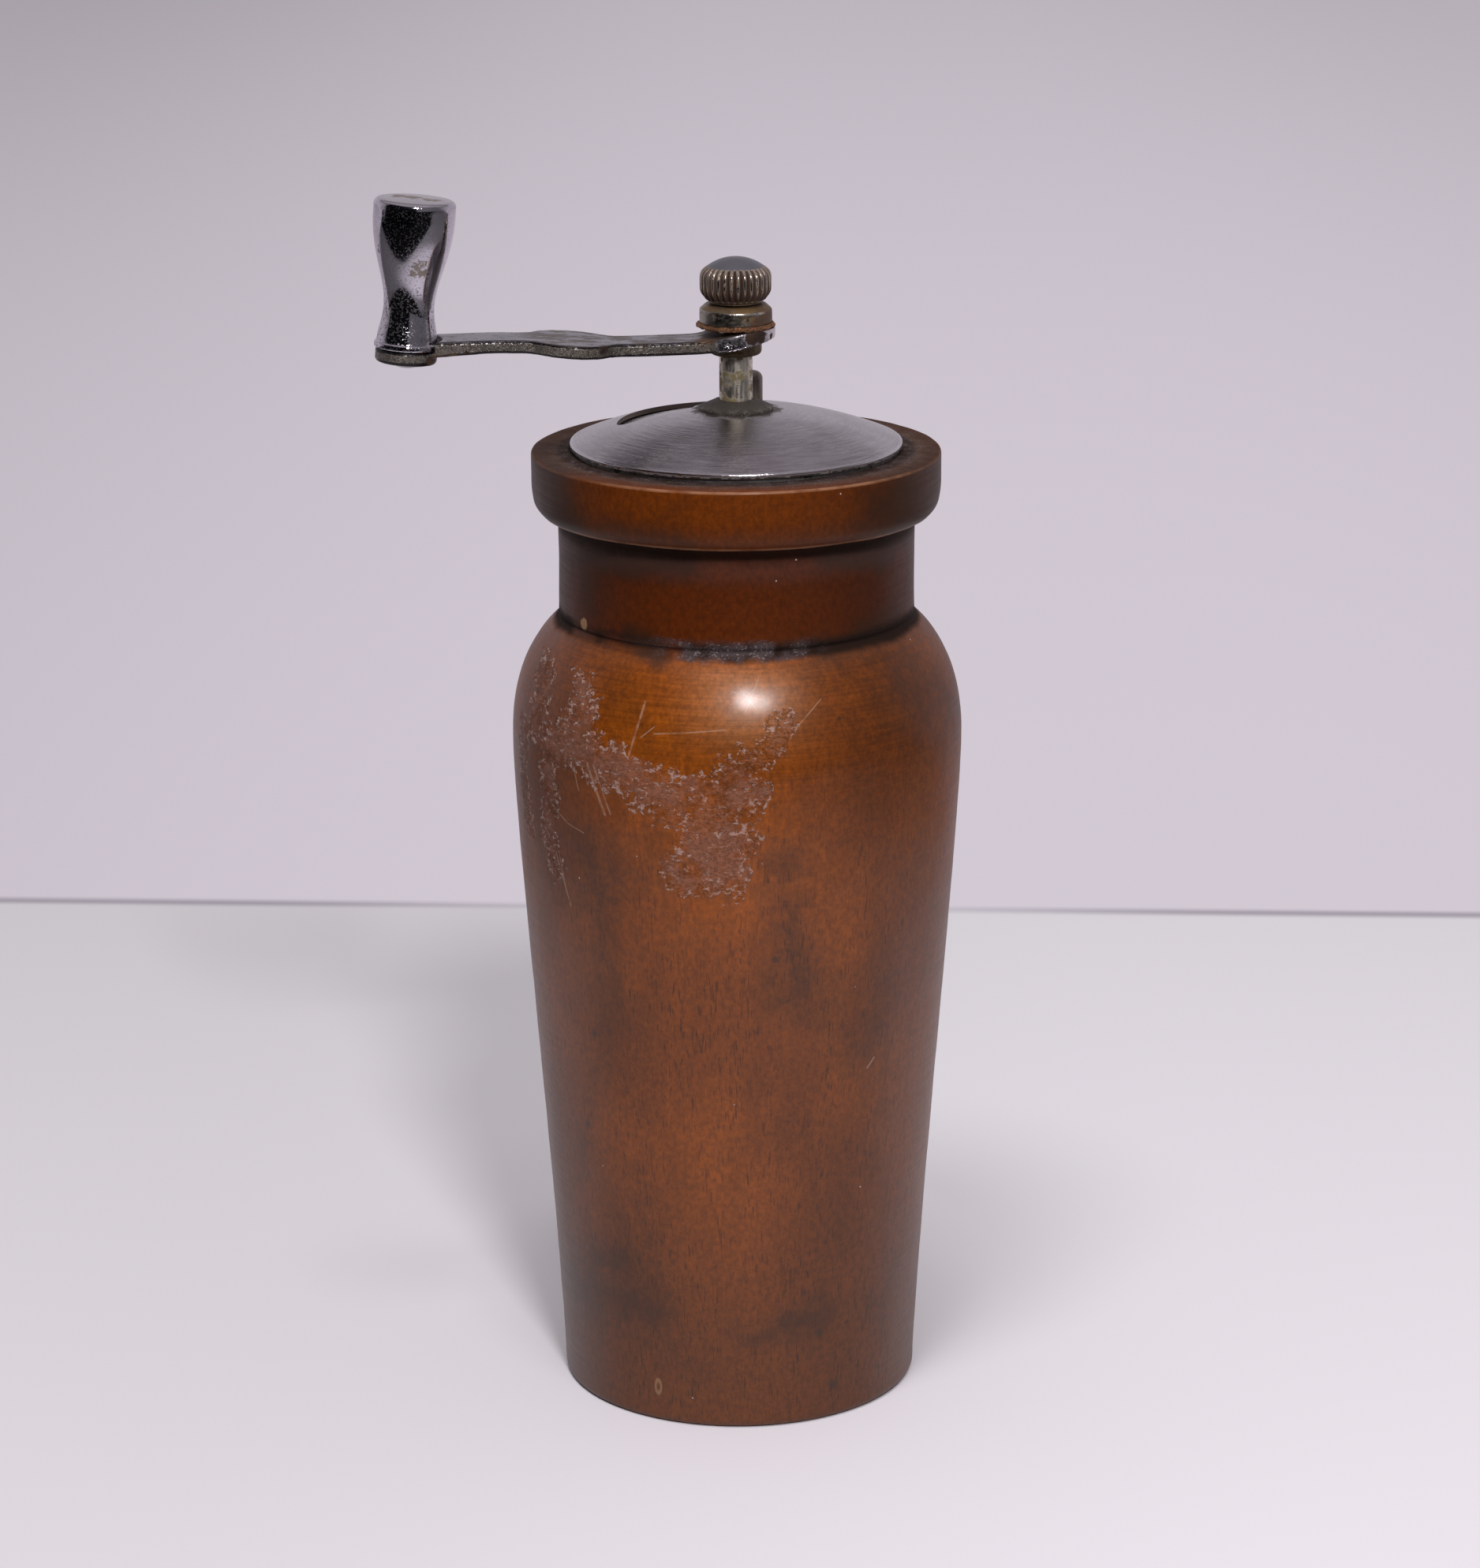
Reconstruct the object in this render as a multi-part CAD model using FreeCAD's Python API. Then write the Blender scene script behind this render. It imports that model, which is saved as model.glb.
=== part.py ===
import FreeCAD, Part
import math
import os

Vector = FreeCAD.Vector

# A salt mill with a crank: a turned wooden body with a burr grinder in its foot, a domed cover with a
# filling shutter, and a crank on a hollow spindle. A rod inside the spindle carries the grinding cone,
# and the fluted knob on top raises and lowers it. Millimetres, +Z up. The origin is the middle of the
# underside, and the crank points along -X at rest.

# Wooden body, outside
body_height = 147.9
foot_r = 27.6
foot_round = 1.35
flank_low_r = 29.3
flank_low_z = 30.0
flank_high_r = 33.65
flank_high_z = 88.0
belly_r = 34.41
belly_z = 105.0
shoulder_r = 31.08
shoulder_z = 118.0
groove_z = 122.6
groove_depth = 0.35
groove_width = 0.9
neck_r = 27.1
neck_hollow = 0.15
collar_r = 31.0
collar_height = 9.1
collar_low_round = 2.5
collar_top_round = 0.5

# Wooden body, inside
chamber_r = 22.0
funnel_height = 10.8
recess_r = 22.1
recess_depth = 4.6

# Clearances
running_fit = 0.05
press_fit = 0.02
seat_play = 0.1
open_play = 0.3

# How far a cutting body reaches past what it cuts
past = 1.0
far_past = 5.0

# Lid ring and cover
ring_wall = 0.75
ring_skirt = 8.0
ring_flange_r = 24.6
ring_flange = 0.7
cover_r = 25.1
cover_sheet = 0.7
cover_lip = 0.6
cover_rise = 4.8
crown_r = 6.0
rim_round = 0.25

# Filling window in the cover
window_in_r = 6.8
window_out_r = 18.0
window_from = 58.0
window_to = 176.0
window_corner_r = 1.8

# Shutter under the cover
shutter_sheet = 0.6
shutter_play = 0.2
shutter_r = 19.6
shutter_lap = 4.0
peg_r = 2.0
peg_round = 1.2
peg_at_r = 12.0
peg_angle = 70.0
peg_stand = 5.35
peg_shank_r = 1.0
peg_head_r = 1.7
peg_head = 0.5

# Lid bushing, its washer and its nut
bushing_r = 3.6
bushing_thread_r = 3.1
bushing_flange_r = 5.6
bushing_neck_r = 2.95
bushing_flange = 1.6
bushing_flange_edge = 0.4
bushing_tail = 1.0
shutter_washer_r = 5.6
shutter_washer_thick = 0.5
bushing_nut_r = 5.2
bushing_nut_thick = 2.4
nut_slot = 1.2

# Spindle: sleeve outside, rod inside
sleeve_r = 2.5
rod_r = 1.5
bare_spindle = 6.8
hub_collar_r = 3.9
hub_collar_height = 2.7
hub_collar_round = 0.7

# Crank arm, from the spindle's axis to the handle's axis
crank_length = 49.5
arm_width = 7.5
arm_thick = 2.0
arm_end_thick = 2.5
arm_drop = 1.6
arm_rise = 1.3
rise_from = 14.0
rise_to = 38.0
eye_r = 5.95
eye_thick = 1.6
eye_flat = 2.5
ramp_length = 9.5
lobe_r = 7.1
lobe_at = 25.0
lobe_blend = 3.0
boss_r = 4.6
boss_height = 2.1
boss_drop = 1.35
boss_round = 0.6
handle_lean = 4.7

# Washer and ring nut on the eye
arm_washer_r = 6.0
arm_washer_thick = 0.6
ring_nut_r = 5.45
ring_nut_height = 2.8
ring_nut_chamfer_height = 0.8
ring_nut_chamfer_width = 0.9
sleeve_top_stand = 0.1

# Fluted knob
knob_height = 6.8
knob_foot_r = 4.5
knob_foot = 0.5
knob_r = 5.4
knob_band_low = 1.5
knob_band_high = 4.6
knob_swell = 0.2
knob_cap_r = 4.2
knob_cap_edge = 5.45
knob_flutes = 30
knob_flute_depth = 0.35
knob_flute_share = 0.5
knob_bore_depth = 5.2
rod_in_knob = 4.4

# Handle, radii and heights from its lip
handle_play = 0.1
handle_lip_r = 4.84
handle_lip = 0.8
handle_foot_r = 4.31
handle_foot_z = 2.6
handle_waist_r = 3.77
handle_waist_z = 6.8
handle_mid_r = 4.74
handle_mid_z = 11.6
handle_upper_r = 5.82
handle_upper_z = 16.3
handle_head_r = 6.08
handle_head_z = 19.4
handle_height = 22.1
handle_crown = 0.3
handle_top_round = 0.8
pin_r = 1.9
pin_grip = 14.0
pin_head_r = 2.6
pin_head = 0.7

# Grinder in the foot
plate_r = 21.9
plate_thick = 1.2
plate_hole_r = 12.8
plate_screws = 3
screw_circle_r = 17.6
screw_r = 1.3
screw_head_r = 2.5
screw_head = 1.15
screw_length = 10.0
screw_point = 3.0
screw_slot = 0.6
screw_slot_depth = 0.5
burr_ring_r = 14.0
burr_ring_height = 14.0
burr_ring_mouth_r = 12.2
cone_foot_r = 11.0
cone_foot_edge = 0.5
cone_waist_r = 8.2
cone_fine_height = 5.0
cone_coarse_height = 6.5
cone_top_r = 4.8
cone_above_plate = 0.3
grind_gap = 0.75
fine_teeth = 32
fine_tooth_depth = 0.45
fine_tooth_share = 0.4
coarse_teeth = 8
coarse_tooth_depth = 1.0
coarse_tooth_width = 1.5
coarse_tooth_tilt = 20.0
cone_coarse_from = 0.8
cone_coarse_land = 0.9
ring_fine_land = 0.2
ring_coarse_from = 0.6

# Bridge, bush, clip, washer and spring
bridge_ring_wall = 1.6
bridge_thick = 2.0
bridge_arm_width = 4.5
bridge_arms = 2
cup_r = 5.5
cup_wall = 1.2
cup_roof = 1.6
spring_room = 8.2
bush_wall = 1.1
bush_height = 5.0
bush_boss_wall = 1.5
clip_r = 4.4
clip_thick = 0.8
clip_groove = 0.3
clip_mouth = 3.1
spring_washer_r = 4.0
spring_washer_thick = 0.5
spring_r = 3.45
spring_wire_r = 0.35
spring_turns = 4.0
spring_ground = 0.5

# Drive pin, washer and nut of the cone
drive_pin_r = 0.75
drive_pin_below = 1.9
rod_travel = 0.5
burr_washer_r = 3.5
burr_washer_thick = 0.5
burr_nut_flats = 5.5
burr_nut_thick = 2.2
rod_end_stand = 0.3

# Heights that follow from the sizes above
collar_low_z = body_height - collar_height
plate_low_z = recess_depth - plate_thick
burr_ring_top_z = recess_depth + burr_ring_height
bridge_top_z = burr_ring_top_z + bridge_thick
funnel_low_r = burr_ring_r - bridge_ring_wall
funnel_top_z = bridge_top_z + funnel_height
cone_low_z = recess_depth + cone_above_plate
cone_waist_z = cone_low_z + cone_foot_edge + cone_fine_height
cone_top_z = cone_waist_z + cone_coarse_height
cup_roof_low_z = burr_ring_top_z + spring_room
cup_roof_top_z = cup_roof_low_z + cup_roof
bush_top_z = cup_roof_low_z + bush_height
spring_top_z = cup_roof_low_z - seat_play - spring_washer_thick
flange_top_z = body_height + ring_flange
crown_z = flange_top_z + cover_lip + cover_rise
bushing_top_z = crown_z + bushing_flange
collar_hub_low_z = bushing_top_z + bare_spindle
eye_low_z = collar_hub_low_z + hub_collar_height
eye_top_z = eye_low_z + eye_thick
nut_low_z = eye_top_z + arm_washer_thick
nut_top_z = nut_low_z + ring_nut_height
sleeve_top_z = nut_top_z + sleeve_top_stand
knob_low_z = sleeve_top_z + seat_play
sleeve_low_z = cone_top_z + rod_travel + open_play
drive_pin_z = sleeve_low_z + drive_pin_below
bar_hub_top_z = eye_top_z - arm_drop
bar_end_top_z = bar_hub_top_z + arm_rise
boss_top_z = bar_end_top_z - boss_drop
rod_low_z = cone_low_z - burr_washer_thick - burr_nut_thick - rod_end_stand
rod_top_z = knob_low_z + rod_in_knob

# The cover is a cap of a sphere that runs from the flat crown to the rim
cap_reach = (cover_r ** 2 - crown_r ** 2) / cover_rise
cap_height = (cap_reach + cover_rise) / 2
cap_radius = math.hypot(cap_height, crown_r)
cap_centre_z = crown_z - cap_height


def cap_z(depth, r):
    """Height of the surface that lies depth below the cover's outside, at radius r."""
    return cap_centre_z + math.sqrt((cap_radius - depth) ** 2 - r ** 2)


# The shutter's bowl lies under the cover's, and its washer and nut hang below its hub
shutter_top_depth = cover_sheet + shutter_play
shutter_low_depth = shutter_top_depth + shutter_sheet
shutter_hub_top_z = cap_z(shutter_top_depth, crown_r)
shutter_hub_low_z = cap_z(shutter_low_depth, crown_r)
shutter_edge_top_z = cap_z(shutter_top_depth, shutter_r)
shutter_edge_low_z = cap_z(shutter_low_depth, shutter_r)
washer_top_z = shutter_hub_low_z - seat_play
washer_low_z = washer_top_z - shutter_washer_thick
bushing_nut_low_z = washer_low_z - bushing_nut_thick


def cap_arc(edge_r, edge_z, top_z):
    """The outline of a round cap from its edge to its top on the axis."""
    rise = abs(top_z - edge_z)
    radius = (edge_r ** 2 + rise ** 2) / (2 * rise)
    half_rise = math.sqrt(radius ** 2 - edge_r ** 2 / 4) - (radius - rise)
    half_z = edge_z + math.copysign(half_rise, top_z - edge_z)
    return arc((edge_r, edge_z), (edge_r / 2, half_z), (0, top_z))


def disc(radius, low, high, x=0.0, y=0.0):
    return Part.makeCylinder(radius, high - low, Vector(x, y, low))


def tube(inner, outer, low, high):
    return disc(outer, low, high).cut(disc(inner, low - past, high + past))


def crosswise(radius, length, z):
    """A cylinder through the Z axis along X, at height z."""
    return Part.makeCylinder(radius, length, Vector(-length / 2, 0, z), Vector(1, 0, 0))


def line(a, b):
    return Part.LineSegment(Vector(a[0], 0, a[1]), Vector(b[0], 0, b[1])).toShape()


def arc(a, middle, b):
    points = [Vector(r, 0, z) for r, z in (a, middle, b)]
    return Part.Arc(*points).toShape()


def curve(points, start=None, end=None):
    """A smooth outline through the (r, z) points, with its directions at the ends where they are given."""
    spline = Part.BSplineCurve()
    places = [Vector(r, 0, z) for r, z in points]
    if start and end:
        spline.interpolate(
            Points=places,
            InitialTangent=Vector(start[0], 0, start[1]),
            FinalTangent=Vector(end[0], 0, end[1]),
        )
    else:
        spline.interpolate(Points=places)
    return spline.toShape()


def turned(edges):
    """A solid of revolution about Z from outline edges, which the axis closes or which close themselves."""
    face = Part.Face(Part.Wire(Part.__sortEdges__(edges)))
    return face.revolve(Vector(0, 0, 0), Vector(0, 0, 1), 360)


def turned_points(points):
    ends = points[1:] + points[:1]
    return turned([line(a, b) for a, b in zip(points, ends)])


def sphere_arc(depth, inner_r, outer_r):
    middle_r = (inner_r + outer_r) / 2
    ends = [(r, cap_z(depth, r)) for r in (inner_r, middle_r, outer_r)]
    return arc(*ends)


def at_angle(radius, degrees):
    turn = math.radians(degrees)
    return Vector(radius * math.cos(turn), radius * math.sin(turn), 0)


def sector(inner, outer, start, stop, low, high):
    """An upright ring segment between two angles."""
    middle = (start + stop) / 2
    near = Part.Arc(at_angle(inner, start), at_angle(inner, middle), at_angle(inner, stop)).toShape()
    far = Part.Arc(at_angle(outer, start), at_angle(outer, middle), at_angle(outer, stop)).toShape()
    side_a = Part.LineSegment(at_angle(inner, start), at_angle(outer, start)).toShape()
    side_b = Part.LineSegment(at_angle(inner, stop), at_angle(outer, stop)).toShape()
    face = Part.Face(Part.Wire(Part.__sortEdges__([near, side_b, far, side_a])))
    face.translate(Vector(0, 0, low))
    return face.extrude(Vector(0, 0, high - low))


def upright_edges(shape):
    return [e for e in shape.Edges if abs(e.tangentAt(e.FirstParameter).z) > 0.99]


def ring_edges(shape, radius, z):
    """The round edges about the Z axis with this radius, at this height."""
    found = []
    for edge in shape.Edges:
        box = edge.BoundBox
        flat = abs(box.ZMin - z) < 0.01 and abs(box.ZMax - z) < 0.01
        if flat and abs(box.XMax - radius) < 0.01 and abs(box.YMax - radius) < 0.01:
            found.append(edge)
    return found


def around(shape, count, start=0.0):
    """Copies of a shape, evenly spaced about the Z axis."""
    copies = []
    for index in range(count):
        copy = shape.copy()
        copy.rotate(Vector(0, 0, 0), Vector(0, 0, 1), start + index * 360.0 / count)
        copies.append(copy)
    return Part.makeCompound(copies)


def save(shape, name):
    shape.exportStep("parts/" + name + ".step")


def wood_body():
    """The turned body, hollow from top to bottom, with the ledge that the grinder is held against."""
    neck_low_z = groove_z + groove_width
    groove_r = neck_r - groove_depth
    flank = curve(
        [
            (foot_r, foot_round),
            (flank_low_r, flank_low_z),
            (flank_high_r, flank_high_z),
            (belly_r, belly_z),
        ],
        start=(0.04, 1.0),
        end=(0.0, 1.0),
    )
    shoulder = curve(
        [(belly_r, belly_z), (shoulder_r, shoulder_z), (neck_r, groove_z)],
        start=(0.0, 1.0),
        end=(-1.0, 0.75),
    )
    foot_in = foot_r - foot_round
    diagonal = foot_round * (1 - math.sqrt(0.5))
    foot_corner = arc((foot_in, 0), (foot_r - diagonal, diagonal), (foot_r, foot_round))
    low_mid = collar_low_round * (1 - math.sqrt(0.5))
    top_mid = collar_top_round * (1 - math.sqrt(0.5))
    neck_middle_z = (neck_low_z + collar_low_z) / 2
    edges = [
        line((0, 0), (foot_in, 0)),
        foot_corner,
        flank,
        shoulder,
        line((neck_r, groove_z), (groove_r, groove_z + groove_width / 2)),
        line((groove_r, groove_z + groove_width / 2), (neck_r, neck_low_z)),
        arc((neck_r, neck_low_z), (neck_r - neck_hollow, neck_middle_z), (neck_r, collar_low_z)),
        line((neck_r, collar_low_z), (collar_r - collar_low_round, collar_low_z)),
        arc(
            (collar_r - collar_low_round, collar_low_z),
            (collar_r - low_mid, collar_low_z + low_mid),
            (collar_r, collar_low_z + collar_low_round),
        ),
        line((collar_r, collar_low_z + collar_low_round), (collar_r, body_height - collar_top_round)),
        arc(
            (collar_r, body_height - collar_top_round),
            (collar_r - top_mid, body_height - top_mid),
            (collar_r - collar_top_round, body_height),
        ),
        line((collar_r - collar_top_round, body_height), (0, body_height)),
        line((0, body_height), (0, 0)),
    ]
    outside = turned(edges)
    hollow = turned_points(
        [
            (0, -past),
            (recess_r, -past),
            (recess_r, recess_depth),
            (burr_ring_r + seat_play, recess_depth),
            (burr_ring_r + seat_play, bridge_top_z),
            (funnel_low_r, bridge_top_z),
            (chamber_r, funnel_top_z),
            (chamber_r, body_height + past),
            (0, body_height + past),
        ]
    )
    pilot_top_z = plate_low_z + screw_length + past
    pilot = disc(screw_r + press_fit, recess_depth - past, pilot_top_z, screw_circle_r)
    return outside.cut(hollow).cut(around(pilot, plate_screws, 90))


def lid_ring():
    """A pressed ring: its skirt grips the bore, and its flange carries the cover."""
    skirt_r = chamber_r - press_fit
    return turned_points(
        [
            (skirt_r - ring_wall, body_height - ring_skirt),
            (skirt_r, body_height - ring_skirt),
            (skirt_r, body_height),
            (ring_flange_r, body_height),
            (ring_flange_r, flange_top_z),
            (skirt_r - ring_wall, flange_top_z),
        ]
    )


def cap_window():
    """The prism that cuts the filling window, with round corners."""
    prism = sector(window_in_r, window_out_r, window_from, window_to, body_height, crown_z + past)
    return prism.makeFillet(window_corner_r, upright_edges(prism))


def lid_cover():
    """The domed cover: a flat crown round the bushing, a spherical slope and a turned-down lip."""
    bore = bushing_r + press_fit
    lip_in = cover_r - cover_sheet
    rim_top = crown_z - cover_rise
    edges = [
        line((bore, cap_z(cover_sheet, crown_r)), (bore, crown_z)),
        line((bore, crown_z), (crown_r, crown_z)),
        sphere_arc(0, crown_r, cover_r),
        line((cover_r, rim_top), (cover_r, flange_top_z)),
        line((cover_r, flange_top_z), (lip_in, flange_top_z)),
        line((lip_in, flange_top_z), (lip_in, cap_z(cover_sheet, lip_in))),
        sphere_arc(cover_sheet, crown_r, lip_in),
        line((crown_r, cap_z(cover_sheet, crown_r)), (bore, cap_z(cover_sheet, crown_r))),
    ]
    dome = turned(edges)
    dome = dome.makeFillet(rim_round, ring_edges(dome, cover_r, rim_top))
    return dome.cut(cap_window())


def shutter_shell(inner):
    """The whole bowl that the shutter is cut from, concentric with the cover."""
    edges = [
        line((inner, shutter_hub_low_z), (inner, shutter_hub_top_z)),
        line((inner, shutter_hub_top_z), (crown_r, shutter_hub_top_z)),
        sphere_arc(shutter_top_depth, crown_r, shutter_r),
        line((shutter_r, shutter_edge_top_z), (shutter_r, shutter_edge_low_z)),
        sphere_arc(shutter_low_depth, crown_r, shutter_r),
        line((crown_r, shutter_hub_low_z), (inner, shutter_hub_low_z)),
    ]
    return turned(edges)


def shutter_plate():
    """A sector with a hub ring, a little larger than the window, with the peg's hole."""
    start = window_from - shutter_lap
    stop = window_to + shutter_lap
    low = body_height - far_past
    high = crown_z
    blade = sector(crown_r / 2, shutter_r + past, start, stop, low, high)
    blank = blade.fuse(disc(crown_r, low, high))
    spot = at_angle(peg_at_r, peg_angle)
    hole = disc(peg_shank_r, low, high, spot.x, spot.y)
    return shutter_shell(bushing_r + running_fit).common(blank).cut(hole)


def shutter_peg():
    """A round-topped peg whose shank is riveted through the shutter."""
    spot = at_angle(peg_at_r, peg_angle)
    plate_top = cap_z(shutter_top_depth, peg_at_r)
    plate_low = cap_z(shutter_low_depth, peg_at_r)
    top = plate_top + peg_stand
    under_z = shutter_edge_low_z - far_past
    stem = disc(peg_r, shutter_edge_low_z, top, spot.x, spot.y)
    stem = stem.makeFillet(peg_round, [e for e in stem.Edges if e.BoundBox.ZMin > top - 0.01])
    under = turned(
        [
            line((0, under_z), (0, shutter_hub_top_z)),
            line((0, shutter_hub_top_z), (crown_r, shutter_hub_top_z)),
            sphere_arc(shutter_top_depth, crown_r, shutter_r),
            line((shutter_r, shutter_edge_top_z), (shutter_r, under_z)),
            line((shutter_r, under_z), (0, under_z)),
        ]
    )
    stem = stem.cut(under)
    head_top = plate_low + peg_head
    shank = disc(peg_shank_r, plate_low - peg_head, plate_top + peg_head, spot.x, spot.y)
    head = disc(peg_head_r, plate_low - peg_head, head_top, spot.x, spot.y).cut(shutter_solid_above())
    return stem.fuse([shank, head]).removeSplitter()


def shutter_solid_above():
    """Everything above the shutter's lower surface, to trim the rivet head to it."""
    return turned(
        [
            line((0, shutter_hub_low_z), (crown_r, shutter_hub_low_z)),
            sphere_arc(shutter_low_depth, crown_r, shutter_r),
            line((shutter_r, shutter_edge_low_z), (shutter_r, crown_z)),
            line((shutter_r, crown_z), (0, crown_z)),
            line((0, crown_z), (0, shutter_hub_low_z)),
        ]
    )


def lid_bushing():
    """The flanged bearing of the spindle: a cone on the cover and a stepped tube through it."""
    bore = sleeve_r + running_fit
    tail_z = bushing_nut_low_z - bushing_tail
    return turned_points(
        [
            (bore, tail_z),
            (bushing_thread_r, tail_z),
            (bushing_thread_r, washer_top_z),
            (bushing_r, washer_top_z),
            (bushing_r, crown_z),
            (bushing_flange_r, crown_z),
            (bushing_flange_r, crown_z + bushing_flange_edge),
            (bushing_neck_r, bushing_top_z),
            (bore, bushing_top_z),
        ]
    )


def shutter_washer():
    return tube(bushing_thread_r + press_fit, shutter_washer_r, washer_low_z, washer_top_z)


def bushing_nut():
    """A round nut with two spanner slots in its lower face."""
    body = tube(bushing_thread_r + press_fit, bushing_nut_r, bushing_nut_low_z, washer_low_z)
    slot = Part.makeBox(4 * bushing_nut_r, nut_slot, bushing_nut_thick / 2 + past)
    slot.translate(Vector(-2 * bushing_nut_r, -nut_slot / 2, bushing_nut_low_z - past))
    return body.cut(slot)


def drive_sleeve():
    """The hollow spindle: a running bore for the rod, a clip groove and a fork for the drive pin."""
    body = tube(rod_r + running_fit, sleeve_r, sleeve_low_z, sleeve_top_z)
    groove_low_z = bush_top_z + seat_play
    groove = tube(sleeve_r - clip_groove, sleeve_r + past, groove_low_z, groove_low_z + clip_thick)
    half_width = drive_pin_r + running_fit
    slot_top_z = drive_pin_z + rod_travel + open_play
    fork = Part.makeBox(4 * sleeve_r, 2 * half_width, slot_top_z - sleeve_low_z + past)
    fork.translate(Vector(-2 * sleeve_r, -half_width, sleeve_low_z - past))
    fork_end = crosswise(half_width, 4 * sleeve_r, slot_top_z)
    return body.cut([groove, fork, fork_end])


def hub_collar():
    """The collar under the arm, with its top filed to the slope of the arm's underside."""
    body = tube(sleeve_r + press_fit, hub_collar_r, collar_hub_low_z, eye_top_z)
    body = body.makeFillet(hub_collar_round, ring_edges(body, hub_collar_r, collar_hub_low_z))
    return body.cut(above_arm_underside())


def lean(shape):
    """Turns a shape made upright on the handle's axis, so that its top leans towards the spindle."""
    shape.rotate(Vector(-crank_length, 0, boss_top_z), Vector(0, 1, 0), handle_lean)
    return shape


def arm_outline():
    """The arm seen from above, as a tall prism: the eye, the bar and the lobe."""
    low = boss_top_z - boss_height - far_past
    high = eye_top_z + far_past
    bar = Part.makeBox(crank_length, arm_width, high - low, Vector(-crank_length, -arm_width / 2, low))
    body = bar.fuse(disc(lobe_r, low, high, -lobe_at)).removeSplitter()
    corners = [
        edge
        for edge in upright_edges(body)
        if abs(abs(edge.Vertexes[0].Y) - arm_width / 2) < 0.01
        and -crank_length + past < edge.Vertexes[0].X < -past
    ]
    body = body.makeFillet(lobe_blend, corners)
    return body.fuse(disc(eye_r, low, high))


def arm_underside_edges():
    """The arm's lower outline, from the handle's end to the eye: the bar, then the ramp under the eye."""
    ramp_end = ramp_length - eye_flat
    return [
        line((-crank_length, bar_end_top_z - arm_end_thick), (-rise_to, bar_end_top_z - arm_thick)),
        curve(
            [(-rise_to, bar_end_top_z - arm_thick), (-rise_from, bar_hub_top_z - arm_thick)],
            start=(1, 0),
            end=(1, 0),
        ),
        line((-rise_from, bar_hub_top_z - arm_thick), (-ramp_end, bar_hub_top_z - arm_thick)),
        curve([(-ramp_end, bar_hub_top_z - arm_thick), (eye_r, eye_low_z)], start=(1, 0), end=(1, 0.1)),
    ]


def arm_depth_of(edges):
    """A side outline drawn through the whole depth of the arm."""
    face = Part.Face(Part.Wire(Part.__sortEdges__(edges)))
    face.translate(Vector(0, -2 * lobe_r, 0))
    return face.extrude(Vector(0, 4 * lobe_r, 0))


def above_arm_underside():
    """Everything above the arm's lower outline near the spindle, to fit the collar to it."""
    high = eye_top_z + far_past
    return arm_depth_of(
        arm_underside_edges()
        + [
            line((eye_r, eye_low_z), (eye_r, high)),
            line((eye_r, high), (-crank_length, high)),
            line((-crank_length, high), (-crank_length, bar_end_top_z - arm_end_thick)),
        ]
    )


def arm_side():
    """The arm seen from the side: a ramp down from the eye, a level stretch and a gentle rise."""
    ramp_end = ramp_length - eye_flat
    return arm_depth_of(
        arm_underside_edges()
        + [
            line((eye_r, eye_low_z), (eye_r, eye_top_z)),
            line((eye_r, eye_top_z), (eye_flat, eye_top_z)),
            curve([(eye_flat, eye_top_z), (-ramp_end, bar_hub_top_z)], start=(-1, 0), end=(-1, 0)),
            line((-ramp_end, bar_hub_top_z), (-rise_from, bar_hub_top_z)),
            curve([(-rise_from, bar_hub_top_z), (-rise_to, bar_end_top_z)], start=(-1, 0), end=(-1, 0)),
            line((-rise_to, bar_end_top_z), (-crank_length, bar_end_top_z)),
            line((-crank_length, bar_end_top_z), (-crank_length, bar_end_top_z - arm_end_thick)),
        ]
    )


def crank_arm():
    """The forged arm: the side and plan shapes together, with the leaning end boss."""
    bar = arm_outline().common(arm_side())
    boss = disc(boss_r, boss_top_z - boss_height, boss_top_z, -crank_length)
    boss_low_z = boss_top_z - boss_height
    low_edge = [edge for edge in boss.Edges if edge.BoundBox.ZMax < boss_low_z + 0.01]
    boss = lean(boss.makeFillet(boss_round, low_edge))
    handle_room = lean(disc(handle_lip_r + open_play, boss_top_z, boss_top_z + far_past, -crank_length))
    under_room = lean(disc(boss_r, boss_low_z - far_past, boss_low_z, -crank_length))
    body = bar.cut([handle_room, under_room]).fuse(boss)
    bore = disc(sleeve_r + press_fit, eye_low_z - far_past, eye_top_z + past)
    pin_room = disc(pin_r + running_fit, boss_low_z - past, boss_top_z + past, -crank_length)
    pin_bore = lean(pin_room)
    return body.cut([bore, pin_bore]).removeSplitter()


def arm_washer():
    return tube(sleeve_r + press_fit, arm_washer_r, eye_top_z, nut_low_z)


def ring_nut():
    """The round nut that clamps the arm, with a chamfer round its top."""
    bore = sleeve_r + press_fit
    return turned_points(
        [
            (bore, nut_low_z),
            (ring_nut_r, nut_low_z),
            (ring_nut_r, nut_top_z - ring_nut_chamfer_height),
            (ring_nut_r - ring_nut_chamfer_width, nut_top_z),
            (bore, nut_top_z),
        ]
    )


def knob_barrel(depth):
    """The knob's barrel and cap, with its side drawn in by depth where the flutes are."""
    foot_z = knob_low_z + knob_foot
    cap_edge_z = knob_low_z + knob_cap_edge
    top_z = knob_low_z + knob_height
    band_r = knob_r - depth
    band_end_r = band_r - knob_swell
    side = curve(
        [
            (knob_foot_r - depth, foot_z),
            (band_end_r, knob_low_z + knob_band_low),
            (band_r, knob_low_z + (knob_band_low + knob_band_high) / 2),
            (band_end_r, knob_low_z + knob_band_high),
            (knob_cap_r, cap_edge_z),
        ]
    )
    return turned(
        [
            line((0, foot_z), (knob_foot_r - depth, foot_z)),
            side,
            cap_arc(knob_cap_r, cap_edge_z, top_z),
            line((0, top_z), (0, foot_z)),
        ]
    )


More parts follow.
